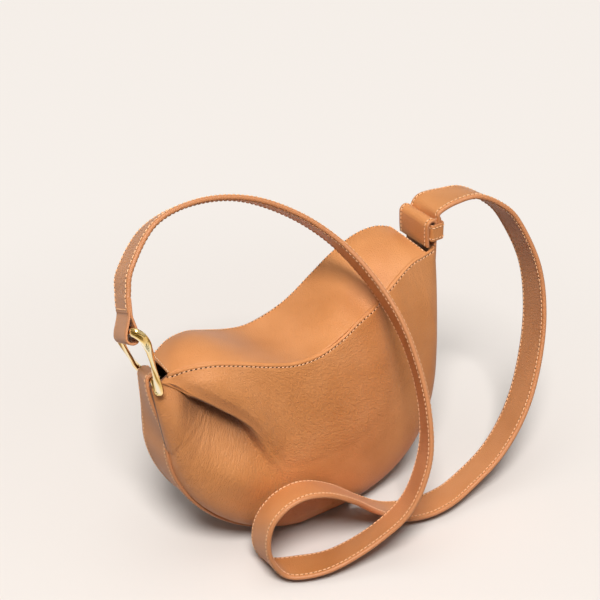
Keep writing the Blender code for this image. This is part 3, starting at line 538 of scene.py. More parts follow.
def top_base(u, v):
    front, rear, rise = kept("top", u, top_column)
    return mix(front, rear, v) + rise * v * (1 - v)


def yoke_column(u):
    w = mix(TOP_START, TOP_END_REAR, u)
    angle = zip_angle(w)
    low = zip_point(angle, -zip_half_slot(w), 0)
    top = rear_edge(w) + Vector((0, 0, -LEATHER - CLEARANCE * 2))
    p1 = low - zip_radial(angle) * (top - low).length * YOKE_REACH
    return low, p1, mix(p1, top, 0.5), top


def yoke_base(u, v):
    return bezier(*kept("yoke", u, yoke_column), v)


def surface_normal(place, u, v):
    h = 0.002
    u0, u1 = max(u - h, 0.0), min(u + h, 1.0)
    v0, v1 = max(v - h, 0.0), min(v + h, 1.0)
    du = place(u1, v) - place(u0, v)
    dv = place(u, v1) - place(u, v0)
    return du.cross(dv).normalized()


# What a folded edge turns down at a distance from it
def rolled(normal, distance, drop, reach):
    return normal * drop * (1 - smooth_step(distance / reach))


# Direction from the bag back to the camera, from which the ring's turn is counted too
def view_back():
    return Vector((-math.sin(CAMERA_TURN) * math.cos(CAMERA_RISE),
                   -math.cos(CAMERA_TURN) * math.cos(CAMERA_RISE), math.sin(CAMERA_RISE)))


# Materials: colours, and grains in cells to the metre
LEATHER_LIGHT = (0.70, 0.300, 0.106)
LEATHER_MID = (0.63, 0.252, 0.074)
LEATHER_DEEP = (0.54, 0.198, 0.046)
# Colour of the painted shade in the tuck's hollow, under its lip and in the gaps at the front panel's
# edges
PAINTED_SHADE_COLOUR = (0.115, 0.032, 0.006)
PAINT = (0.56, 0.225, 0.085)
THREAD_DEEP = (0.84, 0.50, 0.27)
THREAD = (0.90, 0.57, 0.33)
# Painted shade inside the needle holes
NEEDLE_HOLE_SHADE = ((0.030, 0.008, 0.002), (0.06, 0.018, 0.006))
GOLD_DEEP = (0.88, 0.60, 0.22)
GOLD = (0.95, 0.70, 0.30)
# Painted reflections and highlights on the ring, from dark brown to near white
GOLD_PAINTED_REFLECTIONS = [(0.10, (0.34, 0.19, 0.035)), (0.24, (0.80, 0.52, 0.17)), (0.45, (0.98, 0.74, 0.34)),
                (0.72, (1.0, 0.86, 0.52)), (0.90, (1.0, 0.95, 0.78))]
ZIP_CLOTH = ((0.16, 0.06, 0.03), (0.30, 0.13, 0.07))
LINING_CLOTH = ((0.42, 0.32, 0.22), (0.60, 0.49, 0.36))
BOARD = ((0.24, 0.18, 0.12), (0.34, 0.27, 0.20))
WHITE = (1.0, 1.0, 1.0)
LEATHER_CLOUD = 22.0
GOLD_CLOUD = 60.0
LEATHER_GRAIN = 950.0
FINE_GRAIN = 900.0
ZIP_THREADS = 900.0
LINING_THREADS = 700.0

# The front panel laid flat, for the creases that run over it. Columns: the attribute that
# says where they are, the way they run in degrees, and their strength.
PANEL_SPAN = 0.42
PANEL_DROP = 0.125
CREASES = (("lower", -68, 0.70), ("upper", 14, 0.75))
CREASE_SCALE = (330.0, 860.0, 1.0)
CREASE_DEPTH = 0.0012

# Each material is made once
MATERIALS = {}


def new_material(name):
    made = bpy.data.materials.new(name)
    made.use_nodes = True
    tree = made.node_tree
    shader = tree.nodes["Principled BSDF"]
    return made, tree, shader


# Fills in sockets of a node by their names, with a value or with another node's socket
def fill(tree, made, values):
    for name, value in values.items():
        if isinstance(value, bpy.types.NodeSocket):
            tree.links.new(value, made.inputs[name])
        else:
            made.inputs[name].default_value = value


# A node with its sockets and settings filled in
def node(tree, kind, **values):
    made = tree.nodes.new(kind)
    for key, value in values.items():
        if key in made.inputs:
            fill(tree, made, {key: value})
        else:
            setattr(made, key, value)
    return made


def noise(tree, coords, scale, detail, distortion=0.0):
    made = node(tree, "ShaderNodeTexNoise", Vector=coords, Scale=scale, Detail=detail,
                Distortion=distortion)
    return made.outputs["Fac"]


def attribute(tree, name):
    return node(tree, "ShaderNodeAttribute", attribute_name=name).outputs["Fac"]


def maths(tree, operation, first, second):
    made = node(tree, "ShaderNodeMath", operation=operation)
    for socket, value in zip(made.inputs, (first, second)):
        tree.links.new(value, socket)
    return made.outputs[0]


# Colours by place on a ramp. Columns of stops: place, colour.
def ramp(tree, source, stops):
    made = tree.nodes.new("ShaderNodeValToRGB")
    elements = made.color_ramp.elements
    elements[0].position, elements[0].color = stops[0][0], (*stops[0][1], 1.0)
    elements[1].position, elements[1].color = stops[-1][0], (*stops[-1][1], 1.0)
    for place, colour in stops[1:-1]:
        added = elements.new(place)
        added.color = (*colour, 1.0)
    tree.links.new(source, made.inputs["Fac"])
    return made.outputs["Color"]


# Two colours, each a value or a socket, mixed by a number or a socket
def mixed(tree, fac, a, b, blend="MIX"):
    made = tree.nodes.new("ShaderNodeMix")
    made.data_type = "RGBA"
    made.blend_type = blend
    if isinstance(fac, float):
        made.inputs["Factor"].default_value = fac
    else:
        tree.links.new(fac, made.inputs["Factor"])
    for socket, value in (("A", a), ("B", b)):
        spot = [s for s in made.inputs if s.name == socket and s.type == "RGBA"][0]
        if isinstance(value, tuple):
            spot.default_value = (*value, 1.0)
        else:
            tree.links.new(value, spot)
    return [s for s in made.outputs if s.type == "RGBA"][0]


# Height of a pebbled grain: cells, with finer grain between them
def grain_height(tree, coords, scale):
    cells = node(tree, "ShaderNodeTexVoronoi", Vector=coords, Scale=scale, feature="F1")
    return maths(tree, "ADD", cells.outputs["Distance"], noise(tree, coords, scale * 1.7, 3.0))


def bumped(tree, height, strength, distance, base=None):
    made = node(tree, "ShaderNodeBump", Strength=strength, Distance=distance, Height=height)
    if base is not None:
        fill(tree, made, {"Normal": base})
    return made.outputs["Normal"]


# Smooth calf leather with a fine grain. The attribute "shade" says where painted shade darkens the
# tuck's hollow, the line under its lip and the gaps at the front panel's edges, and "paint" where an
# edge is painted.
def leather(name, wrinkles=False, painted=False):
    if name in MATERIALS:
        return MATERIALS[name]
    made, tree, shader = new_material(name)
    coords = node(tree, "ShaderNodeTexCoord").outputs["Object"]
    cloud = noise(tree, coords, LEATHER_CLOUD, 4.0)
    colour = ramp(tree, cloud, [(0.28, LEATHER_DEEP), (0.50, LEATHER_MID), (0.74, LEATHER_LIGHT)])
    height = grain_height(tree, coords, LEATHER_GRAIN)
    pores = ramp(tree, height, [(0.35, (0.82, 0.79, 0.76)), (0.75, WHITE)])
    colour = mixed(tree, 0.60, colour, pores, "MULTIPLY")
    normal = bumped(tree, height, strength=0.60, distance=0.00040)
    if wrinkles:
        uv = node(tree, "ShaderNodeUVMap").outputs["UV"]
        for field, degrees, strength in CREASES:
            turn = node(tree, "ShaderNodeMapping", Vector=uv, Scale=(PANEL_SPAN, PANEL_DROP, 1.0),
                        Rotation=(0.0, 0.0, math.radians(degrees)))
            draw = node(tree, "ShaderNodeMapping", Vector=turn.outputs["Vector"], Scale=CREASE_SCALE)
            creases = noise(tree, draw.outputs["Vector"], 1.0, 2.0, distortion=0.8)
            mask = attribute(tree, field)
            # Painted shade in the creases' troughs: the colour darkens where the bump sinks
            tone = ramp(tree, creases, [(0.36, (0.95, 0.94, 0.93)), (0.60, WHITE)])
            colour = mixed(tree, mask, colour, tone, "MULTIPLY")
            deep = maths(tree, "MULTIPLY", creases, mask)
            normal = bumped(tree, deep, strength, CREASE_DEPTH, normal)
        # Painted shade, mixed in where the attribute "shade" says
        colour = mixed(tree, attribute(tree, "shade"), colour, PAINTED_SHADE_COLOUR)
    if painted:
        colour = mixed(tree, attribute(tree, "paint"), colour, PAINT)
    rough = node(tree, "ShaderNodeMapRange", Value=cloud)
    fill(tree, rough, {"To Min": 0.44, "To Max": 0.58})
    fill(tree, shader, {"Base Color": colour, "Normal": normal, "Roughness": rough.outputs["Result"],
                        "Specular IOR Level": 0.62, "Sheen Weight": 0.08, "Sheen Roughness": 0.5})
    MATERIALS[name] = made
    return made


# A finish between two colours, with a fine grain where it has a bump
def plain_noise(name, low, high, scale, roughness, metallic=0.0, bump=0.0):
    if name in MATERIALS:
        return MATERIALS[name]
    made, tree, shader = new_material(name)
    coords = node(tree, "ShaderNodeTexCoord").outputs["Object"]
    colour = ramp(tree, noise(tree, coords, scale, 3.0), [(0.3, low), (0.7, high)])
    fill(tree, shader, {"Base Color": colour, "Roughness": roughness, "Metallic": metallic})
    if bump:
        height = grain_height(tree, coords, FINE_GRAIN)
        fill(tree, shader, {"Normal": bumped(tree, height, strength=bump, distance=0.0002)})
    MATERIALS[name] = made
    return made


# Cloth of two sets of threads across each other
def woven(name, low, high, threads):
    if name in MATERIALS:
        return MATERIALS[name]
    made, tree, shader = new_material(name)
    coords = node(tree, "ShaderNodeTexCoord").outputs["Object"]
    waves = []
    for axis in ("X", "Z"):
        wave = node(tree, "ShaderNodeTexWave", Vector=coords, Scale=threads, Distortion=0.4,
                    Detail=1.0, bands_direction=axis)
        waves.append(wave.outputs["Fac"])
    weave = maths(tree, "MAXIMUM", *waves)
    fill(tree, shader, {"Base Color": ramp(tree, weave, [(0.2, low), (0.9, high)]),
                        "Normal": bumped(tree, weave, strength=0.5, distance=0.0003),
                        "Roughness": 0.85, "Sheen Weight": 0.25})
    MATERIALS[name] = made
    return made


def painted_leather():
    return leather("painted_leather", painted=True)


def gold():
    return plain_noise("polished_gold", GOLD_DEEP, GOLD, GOLD_CLOUD, roughness=0.09, metallic=1.0)


# Polished bar, with painted reflections and highlights in streaks that run along it
def ring_gold():
    if "ring_gold" in MATERIALS:
        return MATERIALS["ring_gold"]
    made, tree, shader = new_material("ring_gold")
    coords = node(tree, "ShaderNodeTexCoord").outputs["Object"]
    painted_reflections = ramp(tree, attribute(tree, "painted_reflection"), GOLD_PAINTED_REFLECTIONS)
    tone = ramp(tree, noise(tree, coords, GOLD_CLOUD, 3.0), [(0.3, (0.92, 0.90, 0.86)), (0.7, WHITE)])
    fill(tree, shader, {"Base Color": mixed(tree, 1.0, painted_reflections, tone, "MULTIPLY"),
                        "Roughness": 0.12, "Metallic": 1.0})
    MATERIALS["ring_gold"] = made
    return made


def thread():
    return plain_noise("peach_thread", THREAD_DEEP, THREAD, 700.0, roughness=0.6, bump=0.3)


# Dark dimples that paint the shade inside the needle holes
def needle_hole_shade():
    return plain_noise("needle_hole_shade", *NEEDLE_HOLE_SHADE, 500.0, roughness=0.85)


# Pieces: a shape gets its material, its body and the CAD pieces that it stands for
def finish_piece(name, bm, look, body, nodes=(), sharp=35):
    mesh = bpy.data.meshes.new(name)
    bm.to_mesh(mesh)
    bm.free()
    mesh.materials.append(look)
    mesh.shade_smooth()
    mesh.set_sharp_from_angle(angle=math.radians(sharp))
    thing = bpy.data.objects.new(name, mesh)
    bpy.context.scene.collection.objects.link(thing)
    if body:
        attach(thing, body)
    if nodes:
        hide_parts(*nodes)
    return thing


# Row and column of a point of a grid
def grid_place(vert, rows, columns):
    return round((vert.co.x + 0.5) * rows), round((vert.co.y + 0.5) * columns)


# Joins the sides of a grid that is rolled up, closes its ends and turns its faces outwards
def close_tube(bm, ends=True):
    bmesh.ops.remove_doubles(bm, verts=bm.verts, dist=JOIN)
    if ends:
        bmesh.ops.holes_fill(bm, edges=[e for e in bm.edges if e.is_boundary])
    bmesh.ops.recalc_face_normals(bm, faces=bm.faces)


PLAIN_MARKS = (CREASE_PLAIN, CREASE_PLAIN, 0.0)


# A surface over the unit square, thickened against its normals, or along them when outward.
# The marks are its attributes: creased below and above the tuck, and darkened by painted shade.
def sheet(name, place, steps, thickness, look, body, nodes=(), marks=None, outward=False):
    bm = bmesh.new()
    bm.loops.layers.uv.new("UVMap")
    bmesh.ops.create_grid(bm, x_segments=steps[0], y_segments=steps[1], size=0.5, calc_uvs=True)
    layers = [bm.verts.layers.float.new(mark) for mark in ("lower", "upper", "shade")]
    for vert in bm.verts:
        u, v = vert.co.x + 0.5, vert.co.y + 0.5
        vert.co = place(u, v)
        for layer, value in zip(layers, marks(u, v) if marks else PLAIN_MARKS):
            vert[layer] = value
    bmesh.ops.remove_doubles(bm, verts=bm.verts, dist=SHEET_JOIN)
    thing = finish_piece(name, bm, look, body, nodes)
    wall = thing.modifiers.new("wall", "SOLIDIFY")
    wall.thickness = thickness
    wall.offset = 1.0 if outward else -1.0
    wall.use_even_offset = False
    return thing


# Rounded outline of a flat strip, with a groove under each row of stitches. Columns: across,
# height, share of edge paint.
def strip_profile(width, thickness, inset):
    half, h = width / 2, thickness / 2
    turn = h * STRIP_ROUND
    flat = half - turn
    points = []
    line = (half - inset) / flat
    stops = [-1.0, -0.98] + [-line + shift for shift in GROOVE] + [-0.6, -0.3, 0.0]
    stops += [-s for s in reversed(stops[:-1])]
    for side in (-1, 1):
        for s in stops:
            sink = STITCH_GROOVE if abs(abs(s) - line) < 0.01 else 0.0
            points.append((-side * s * flat, side * (h - sink), 0.0))
        for k in range(1, EDGE_STEPS):
            a = math.pi * k / EDGE_STEPS
            points.append((-side * (flat + turn * math.sin(a)), side * h * math.cos(a), 1.0))
    return points


# A strip swept along stations. Columns of stations: centre, direction of the width.
def sweep(name, stations, profile, closed, look, body, nodes=()):
    count = len(stations)
    frames = []
    for k, (centre, across) in enumerate(stations):
        if closed:
            before, after = stations[k - 1][0], stations[(k + 1) % count][0]
        else:
            before, after = stations[max(k - 1, 0)][0], stations[min(k + 1, count - 1)][0]
        normal = (after - before).cross(across).normalized()
        frames.append((centre, across, normal))
    bm = bmesh.new()
    bm.loops.layers.uv.new("UVMap")
    rows = count if closed else count - 1
    bmesh.ops.create_grid(bm, x_segments=rows, y_segments=len(profile), size=0.5, calc_uvs=True)
    layer = bm.verts.layers.float.new("paint")
    for vert in bm.verts:
        k, j = grid_place(vert, rows, len(profile))
        centre, across, normal = frames[k % count]
        x, y, paint = profile[j % len(profile)]
        vert.co = centre + across * x + normal * y
        vert[layer] = paint
    close_tube(bm, ends=not closed)
    return finish_piece(name, bm, look, body, nodes, 50), frames


# One stitch of the running thread. Columns: share of the pitch, height over the leather. The
# body's seams show more of the needle holes than the strap does.
SHORT_WAVE = [(0.00, -0.00090), (0.17, -0.00055), (0.25, 0.00002), (0.35, 0.00022),
              (0.50, 0.00028), (0.65, 0.00022), (0.75, 0.00002), (0.83, -0.00055)]
LONG_WAVE = [(0.00, -0.00090), (0.10, -0.00055), (0.16, 0.00002), (0.28, 0.00026),
             (0.50, 0.00034), (0.72, 0.00026), (0.84, 0.00002), (0.90, -0.00055)]
THREAD_SIDES = 6


# Places a pitch apart along a line of (place, normal): place, direction, normal
def line_places(line, pitch, shares):
    lengths = [0.0]
    for (a, _), (b, _) in zip(line, line[1:]):
        lengths.append(lengths[-1] + (b - a).length)
    count = max(int(lengths[-1] / pitch), 1)
    places = []
    k = 0
    for n in range(count):
        for share in shares:
            want = lengths[-1] * (n + share) / count
            while k < len(line) - 2 and lengths[k + 1] < want:
                k += 1
            (a, na), (b, nb) = line[k], line[k + 1]
            f = (want - lengths[k]) / max(lengths[k + 1] - lengths[k], 1e-7)
            places.append((mix(a, b, f), (b - a).normalized(), mix(na, nb, f).normalized()))
    return places


# A running thread that dives into the leather between stitches, and dark dimples of painted shade at
# its needle holes
def sew(name, lines, body, pitch=STITCH_PITCH, tilt=0.0, wave=LONG_WAVE, hole=STRAP_HOLE):
    bm = bmesh.new()
    holes = bmesh.new()
    dimple = bpy.data.meshes.new("dimple")
    seed = bmesh.new()
    bmesh.ops.create_uvsphere(seed, u_segments=6, v_segments=4, radius=1.0)
    seed.to_mesh(dimple)
    seed.free()
    shares = [share for share, _ in wave]
    for line in lines:
        places = line_places(line, pitch, shares)
        strand = bmesh.new()
        rows = len(places) - 1
        bmesh.ops.create_grid(strand, x_segments=rows, y_segments=THREAD_SIDES, size=0.5)
        for vert in strand.verts:
            k, j = grid_place(vert, rows, THREAD_SIDES)
            place, along, up = places[k]
            share, height = wave[k % len(wave)]
            side = up.cross(along)
            a = 2 * math.pi * (j % THREAD_SIDES) / THREAD_SIDES
            slant = (share - 0.5) * tilt * pitch
            vert.co = (place + side * (math.cos(a) * STITCH_BAR + slant)
                       + up * (math.sin(a) * STITCH_BAR + height))
            vert.co.z = max(vert.co.z, FLOOR_CLEAR)
        close_tube(strand)
        part = bpy.data.meshes.new("strand")
        strand.to_mesh(part)
        strand.free()
        bm.from_mesh(part)
        bpy.data.meshes.remove(part)
        # Dark dimples of painted shade at the needle holes
        for place, along, up in line_places(line, pitch, [0.0]):
            if place.z < hole:
                continue
            side = up.cross(along)
            turn = Matrix((along, side, up)).transposed().to_4x4()
            turn.translation = place
            turn = turn @ Matrix.Diagonal((*[hole * share for share in HOLE_SHAPE], 1.0))
            dimple.transform(turn)
            holes.from_mesh(dimple)
            dimple.transform(turn.inverted())
    bpy.data.meshes.remove(dimple)
    stitches = finish_piece(name, bm, thread(), body, sharp=80)
    dimples = finish_piece(name + "_holes", holes, needle_hole_shade(), body, sharp=80)
    return [stitches, dimples]


# A line on a mapped surface for sewing, lifted a little off it
def line_on(place, spots):
    line = []
    for u, v in spots:
        normal = surface_normal(place, u, v)
        line.append((place(u, v) + normal * STITCH_LIFT, normal))
    return line


# Front panel: the tuck's row at a column
def tuck_row(u):
    last = len(TUCK_SHARES) - 1
    if u >= TUCK_SHARES[last][0]:
        return TUCK_SHARES[last]
    k = max(j for j in range(last) if TUCK_SHARES[j][0] <= u)
    f = (u - TUCK_SHARES[k][0]) / (TUCK_SHARES[k + 1][0] - TUCK_SHARES[k][0])
    return spline(TUCK_SHARES, (k + f) / last)


# Length of a column, and its tuck
def column_facts(u):
    low, p2, p1, top = kept("front", u, front_column)
    length = 0.0
    last = low
    for k in range(1, COLUMN_STEPS + 1):
        here = bezier(low, p2, p1, top, k / COLUMN_STEPS)
        length += (here - last).length
        last = here
    return length, tuck_row(u)


# Rows crowd at the crease and at the folded top edge
def front_row(u, t):
    crease = kept("facts", u, column_facts)[1][1]
    if t < CREASE_ROW_SHARE:
        f = t / CREASE_ROW_SHARE
        return crease * (1 - (1 - f) ** 1.9)
    f = (t - CREASE_ROW_SHARE) / (1 - CREASE_ROW_SHARE)
    return crease + (1 - crease) * mix(f ** 1.7, 1 - (1 - f) ** 1.5, smooth_step(f))


# Small folds that run out from the middle of the tuck, down and to the left: three sets of
# waves, counted by the angle and bent as they run out
def tuck_folds(u, s):
    x = (u - TUCK_CENTRE_U) * TUCK_SPAN
    r = math.hypot(x, s)
    a = math.atan2(-s, -x)
    if r < TUCK_FOLD_START or s > 0:
        return 0.0
    wave = 0.55 * math.sin(19 * a + 1.4 * math.sin(5 * a + 60 * r))
    wave += 0.30 * math.sin(34 * a + 2.0 + 1.1 * math.sin(80 * r)) + 0.25 * math.sin(9 * a + 0.7)
    side = smooth_step((a + 0.25) / 0.5) * smooth_step((2.1 - a) / 0.7)
    fade = smooth_step((r - TUCK_FOLD_START) / 0.012)
    return TUCK_FOLD * wave * side * fade * math.exp(-(r / TUCK_FOLD_REACH) ** 2)


def front_point(u, t):
    v = front_row(u, t)
    point = front_base(u, v)
    length, (_, crease, depth, reach, lip) = kept("facts", u, column_facts)
    normal = surface_normal(front_base, u, v)
    down = (front_base(u, max(v - 0.01, 0)) - front_base(u, min(v + 0.01, 1)))
    down = down.normalized() if down.length > 0 else -Z_AXIS
    # Distance above the crease, and below the seam
    s = (v - crease) * length
    from_top = (1 - v) * length
    held = smooth_step(from_top / SEAM_HOLD) * smooth_step(v / FOOT_HOLD)
    if s < 0:
        fall = math.exp(-(-s / max(reach, 0.001)) ** TUCK_FALL_POWER)
        start = smooth_step(-s / mix(0.0020, 0.0150, smooth_step((u - 0.27) / 0.09)))
        out = -depth * fall * start
        drop = lip * (1 - start) - lip * 1.1 * math.exp(s / 0.004) * start
    else:
        drop = lip * math.exp(-s / 0.012)
        swell = math.exp(-((s - 0.011) / 0.013) ** 2) * depth * TUCK_SWELL
        out = swell * min(s / 0.007, 1) ** 0.6
    out += tuck_folds(u, s)
    for height, at_u, reach_u, at_v, reach_v in FRONT_SWELLS:
        out += height * math.exp(-((u - at_u) / reach_u) ** 2 - ((v - at_v) / reach_v) ** 2)
    point += (normal * out + down * drop) * held
    # Folded top edge, padded above its line of stitches and drawn in along it
    point -= rolled(normal, from_top, *SEAM_ROLL)
    point += normal * SEAM_PAD * hump(from_top, SEAM_STITCH_INSET * 0.5, 0.0011)
    point -= normal * SEAM_DRAW * hump(from_top, SEAM_STITCH_INSET, 0.0007)
    middle = STRAP_FOLD_U + STRAP_FOLD_SLANT * (0.9 - v)
    fade = smooth_step((v - 0.45) / 0.35) * smooth_step(from_top / 0.004)
    for shift, height, width in STRAP_FOLDS:
        point += normal * height * hump(u, middle + shift, width) * fade
    # Shallow creases near the right end of the seam
    ripple = hump(u, 0.76, 0.05) * smooth_step((v - 0.55) / 0.2) * smooth_step(from_top / 0.006)
    point += normal * RIPPLE * math.sin(u * 210 + v * 46 + 2 * math.sin(v * 17)) * ripple
    return point


# Where the front panel is creased below and above the tuck, and where painted shade darkens it
def front_marks(u, t):
    v = front_row(u, t)
    length, (_, crease, depth, _, _) = kept("facts", u, column_facts)
    s = (v - crease) * length
    upper = smooth_step(s / 0.006) * smooth_step((1 - v) / 0.05)
    upper *= 1 - 0.45 * smooth_step((u - 0.38) / 0.25)
    lower = smooth_step(-s / 0.004) * smooth_step(v / 0.20) * (1 - smooth_step((u - 0.36) / 0.12))
    shade = 0.0
    # Painted shade in the tuck's hollow, fading down from the lip
    if s < 0.0012:
        fall = math.exp(-((s + 0.002) / PAINTED_SHADE_REACH) ** 2) if s < -0.002 else 1.0
        fall *= 1 - smooth_step(s / 0.0012)
        shade = HOLLOW_SHADE * fall * smooth_step((depth - 0.002) / 0.010)
        shade *= 1 - smooth_step((u - 0.30) / 0.07)
        # Painted shadow: a thin dark line under the lip
        thin = 0.9 * math.exp(-((s + 0.0012) / 0.0012) ** 2) * smooth_step(depth / 0.002)
        shade = max(shade, thin * (1 - smooth_step((u - 0.16) / 0.08)))
    # Painted shade in the gaps where the panel's left and lower edges meet the band
    edge = min(v * length, u * PANEL_SPAN)
    shade = max(shade, 0.95 * (1 - smooth_step((edge - PANEL_TUCK * 0.8) / 0.0014)))
    return CREASE_PLAIN + CREASE_MARKED * lower, CREASE_PLAIN + CREASE_MARKED * upper, shade


def build_front():
    sheet("front_panel_leather", front_point, FRONT_STEPS, LEATHER, leather("front_leather", True),
          "root", ["front_panel"], front_marks)
    # Grid row that lies on the line of stitches, found by halving
    spots = []
    for k in range(SEAM_LINE_STEPS + 1):
        u = mix(0.012, 0.985, k / SEAM_LINE_STEPS)
        length = kept("facts", u, column_facts)[0]
        goal = 1 - SEAM_STITCH_INSET / max(length, SEAM_STITCH_INSET * 1.05)
        low, high = 0.0, 1.0
        for _ in range(HALVINGS):
            t = (low + high) / 2
            if front_row(u, t) < goal:
                low = t
            else:
                high = t
        spots.append((u, (low + high) / 2))
    sew("front_seam_stitches", [line_on(front_point, spots)], "root", tilt=SEAM_TILT,
        wave=SHORT_WAVE, hole=SEAM_HOLE)


# Top panel
def top_point(u, v):
    point = top_base(u, v)
    normal = surface_normal(top_base, u, v)
    for height, middle, reach, end in TOP_DENTS:
        point += normal * height * hump(u, middle, reach) * smooth_step((end - v) / 0.5)
    span = (top_base(u, 1.0) - top_base(u, 0.0)).length
    point -= rolled(normal, (1 - v) * span, *REAR_ROLL)
    for share in (u, 1 - u):
        edge = share * TOP_PANEL_LENGTH
        point -= rolled(normal, edge, *END_ROLL)
        point -= normal * END_DRAW * hump(edge, 0.0024, 0.0006)
    return point


def build_top():
    sheet("top_panel_leather", top_point, TOP_STEPS, LEATHER, leather("smooth_leather", True),
          "root", ["top_panel"])
    rear = [mix(0.006, 0.994, k / EDGE_LINE_STEPS) for k in range(EDGE_LINE_STEPS + 1)]
    end = [mix(0.05, 0.95, k / END_LINE_STEPS) for k in range(END_LINE_STEPS + 1)]
    rows = [[(u, 0.972) for u in rear]] + [[(u, v) for v in end] for u in (0.0115, 0.9885)]
    sew("top_panel_stitches", [line_on(top_point, row) for row in rows], "root",
        pitch=FINE_PITCH, wave=SHORT_WAVE)


# Back panel and yoke, with the folded edges of the zip's slot
def slot_edge(base, u, v, far):
    point = base(u, v)
    normal = -surface_normal(base, u, v)
    from_slot = abs(far - v) * (base(u, 1.0) - base(u, 0.0)).length
    point -= rolled(normal, from_slot, *SLOT_ROLL)
    return point


def back_point(u, v):
    return slot_edge(back_base, u, v, 1.0)


def yoke_point(u, v):
    return slot_edge(yoke_base, u, v, 0.0)


def mirrored(place):
    return lambda u, v: place(1 - u, v)


def build_back():
    sheet("back_panel_leather", mirrored(back_point), BACK_STEPS, LEATHER,
          leather("smooth_leather", True), "root", ["back_panel"])
    sheet("back_yoke_leather", mirrored(yoke_point), YOKE_STEPS, LEATHER,
          leather("smooth_leather", True), "root", ["back_yoke"])
    lower = []
    upper = []
    for k in range(EDGE_LINE_STEPS + 1):
        u = mix(0.03, 0.97, k / EDGE_LINE_STEPS)
        reach = (back_base(1 - u, 1.0) - back_base(1 - u, 0.0)).length
        lower.append((u, 1 - ZIP_STITCH_INSET / reach))
        reach = (yoke_base(1 - u, 1.0) - yoke_base(1 - u, 0.0)).length
        upper.append((u, ZIP_STITCH_INSET / reach))
    sew("zip_edge_stitches", [line_on(mirrored(back_point), lower),
                              line_on(mirrored(yoke_point), upper)], "root", pitch=FINE_PITCH)


# Lower bar of the ring, held in the band's fold
def bar_frame(lean):
    along = Vector((lean[0], 1, lean[1])).normalized()
    up = (Z_AXIS - along * Z_AXIS.dot(along)).normalized()
    return along, up, along.cross(up)


LOWER_BAR = body_point(RING_SEAT_SHARES)
LOWER_ALONG, LOWER_UP, LOWER_RIGHT = bar_frame(LOWER_BAR_LEAN)
FOLD_RADIUS = RING_BAR / 2 + CLEARANCE + BAND_THICKNESS / 2
TONGUE_RADIUS = TONGUE_HOLLOW / 2 + BAND_THICKNESS / 2
BAND_OUT = CLEARANCE + BAND_THICKNESS / 2
TONGUE_X = HALF_LENGTH + BAND_OUT
TONGUE_ARC_Z = TONGUE_TOP - BAND_THICKNESS / 2 - TONGUE_RADIUS


# The band's way: round the ring's lower bar, under the bag, up to the tongue and over it
def band_rows():
    rows = []
    for k in range(TAIL_STEPS):
        drop = FOLD_TAIL * (1 - k / TAIL_STEPS)
        rows.append((LOWER_BAR + LOWER_RIGHT * FOLD_RADIUS - LOWER_UP * drop, LOWER_ALONG))
    for k in range(FOLD_STEPS + 1):
        a = math.pi * k / FOLD_STEPS
        arm = LOWER_RIGHT * math.cos(a) + LOWER_UP * math.sin(a)
        rows.append((LOWER_BAR + arm * FOLD_RADIUS, LOWER_ALONG))
    start = LOWER_BAR - LOWER_RIGHT * FOLD_RADIUS
    end = rim(LEFT_SHARE, 0, -BAND_OUT)
    drop = start.z - end.z
    for k in range(1, BLEND_STEPS):
        f = k / BLEND_STEPS
        centre = bezier(start, start - LOWER_UP * drop * BLEND_REACH,
                        end + Z_AXIS * drop * BLEND_REACH, end, f)
        rows.append((centre, mix(LOWER_ALONG, Y_AXIS, smooth_step(f)).normalized()))
    floor = BAND_THICKNESS / 2
    span = 1 - LEFT_SHARE - RIGHT_SHARE
    for k in range(ROUND_STEPS + 1):
        point = rim(LEFT_SHARE + span * k / ROUND_STEPS, 0, -BAND_OUT - BAND_FLAT_DROP)
        point.x *= (HALF_LENGTH + BAND_OUT) / (HALF_LENGTH + BAND_OUT + BAND_FLAT_DROP)
        point.z = max(point.z, floor)
        rows.append((point, Y_AXIS))
    for k in range(1, RISE_STEPS + 1):
        rows.append((Vector((TONGUE_X, 0, mix(SIDE_HEIGHT, TONGUE_ARC_Z, k / RISE_STEPS))), Y_AXIS))
    for k in range(1, FOLD_STEPS + 1):
        a = math.pi * k / FOLD_STEPS
        x = TONGUE_X - TONGUE_RADIUS + TONGUE_RADIUS * math.cos(a)
        rows.append((Vector((x, 0, TONGUE_ARC_Z + TONGUE_RADIUS * math.sin(a))), Y_AXIS))
    last = rows[-1][0]
    for k in range(1, TUCK_STEPS + 1):
        f = k / TUCK_STEPS
        rows.append((last + Vector((TONGUE_HOLLOW * TONGUE_LEAN_SHARE * f * f, 0, -TONGUE_TUCK * f)),
                     Y_AXIS))
    return rows


# Lines of stitches along a swept strip
def strip_lines(frames, width, thickness, inset, faces=(1, -1), start=0, stop=None):
    lines = []
    for face in faces:
        for side in (-1, 1):
            line = []
            for centre, across, normal in frames[start:stop]:
                spot = centre + across * side * (width / 2 - inset)
                line.append((spot + normal * face * (thickness / 2 - STITCH_SINK), normal * face))
            lines.append(line)
    return lines


def build_band():
    profile = strip_profile(BAND_WIDTH, BAND_THICKNESS, STRAP_STITCH_INSET)
    _, frames = sweep("side_band_leather", band_rows(), profile, False, painted_leather(),
                      "root", ["side_band"])
    probe = frames[len(frames) // 2]
    outer = 1 if probe[2].z < 0 else -1
    sew("side_band_stitches", strip_lines(frames, BAND_WIDTH, BAND_THICKNESS, STRAP_STITCH_INSET,
                                          (outer,), 6), "root")


def gusset_point(u, v):
    return rim(mix(*GUSSET_SPAN, u), v * 2 - 1, LEATHER + CLEARANCE * 2, HALF_BAND)


def build_gusset():
    sheet("side_gusset_leather", gusset_point, GUSSET_STEPS, LEATHER,
          leather("smooth_leather", True), "root", ["side_gusset"], outward=True)


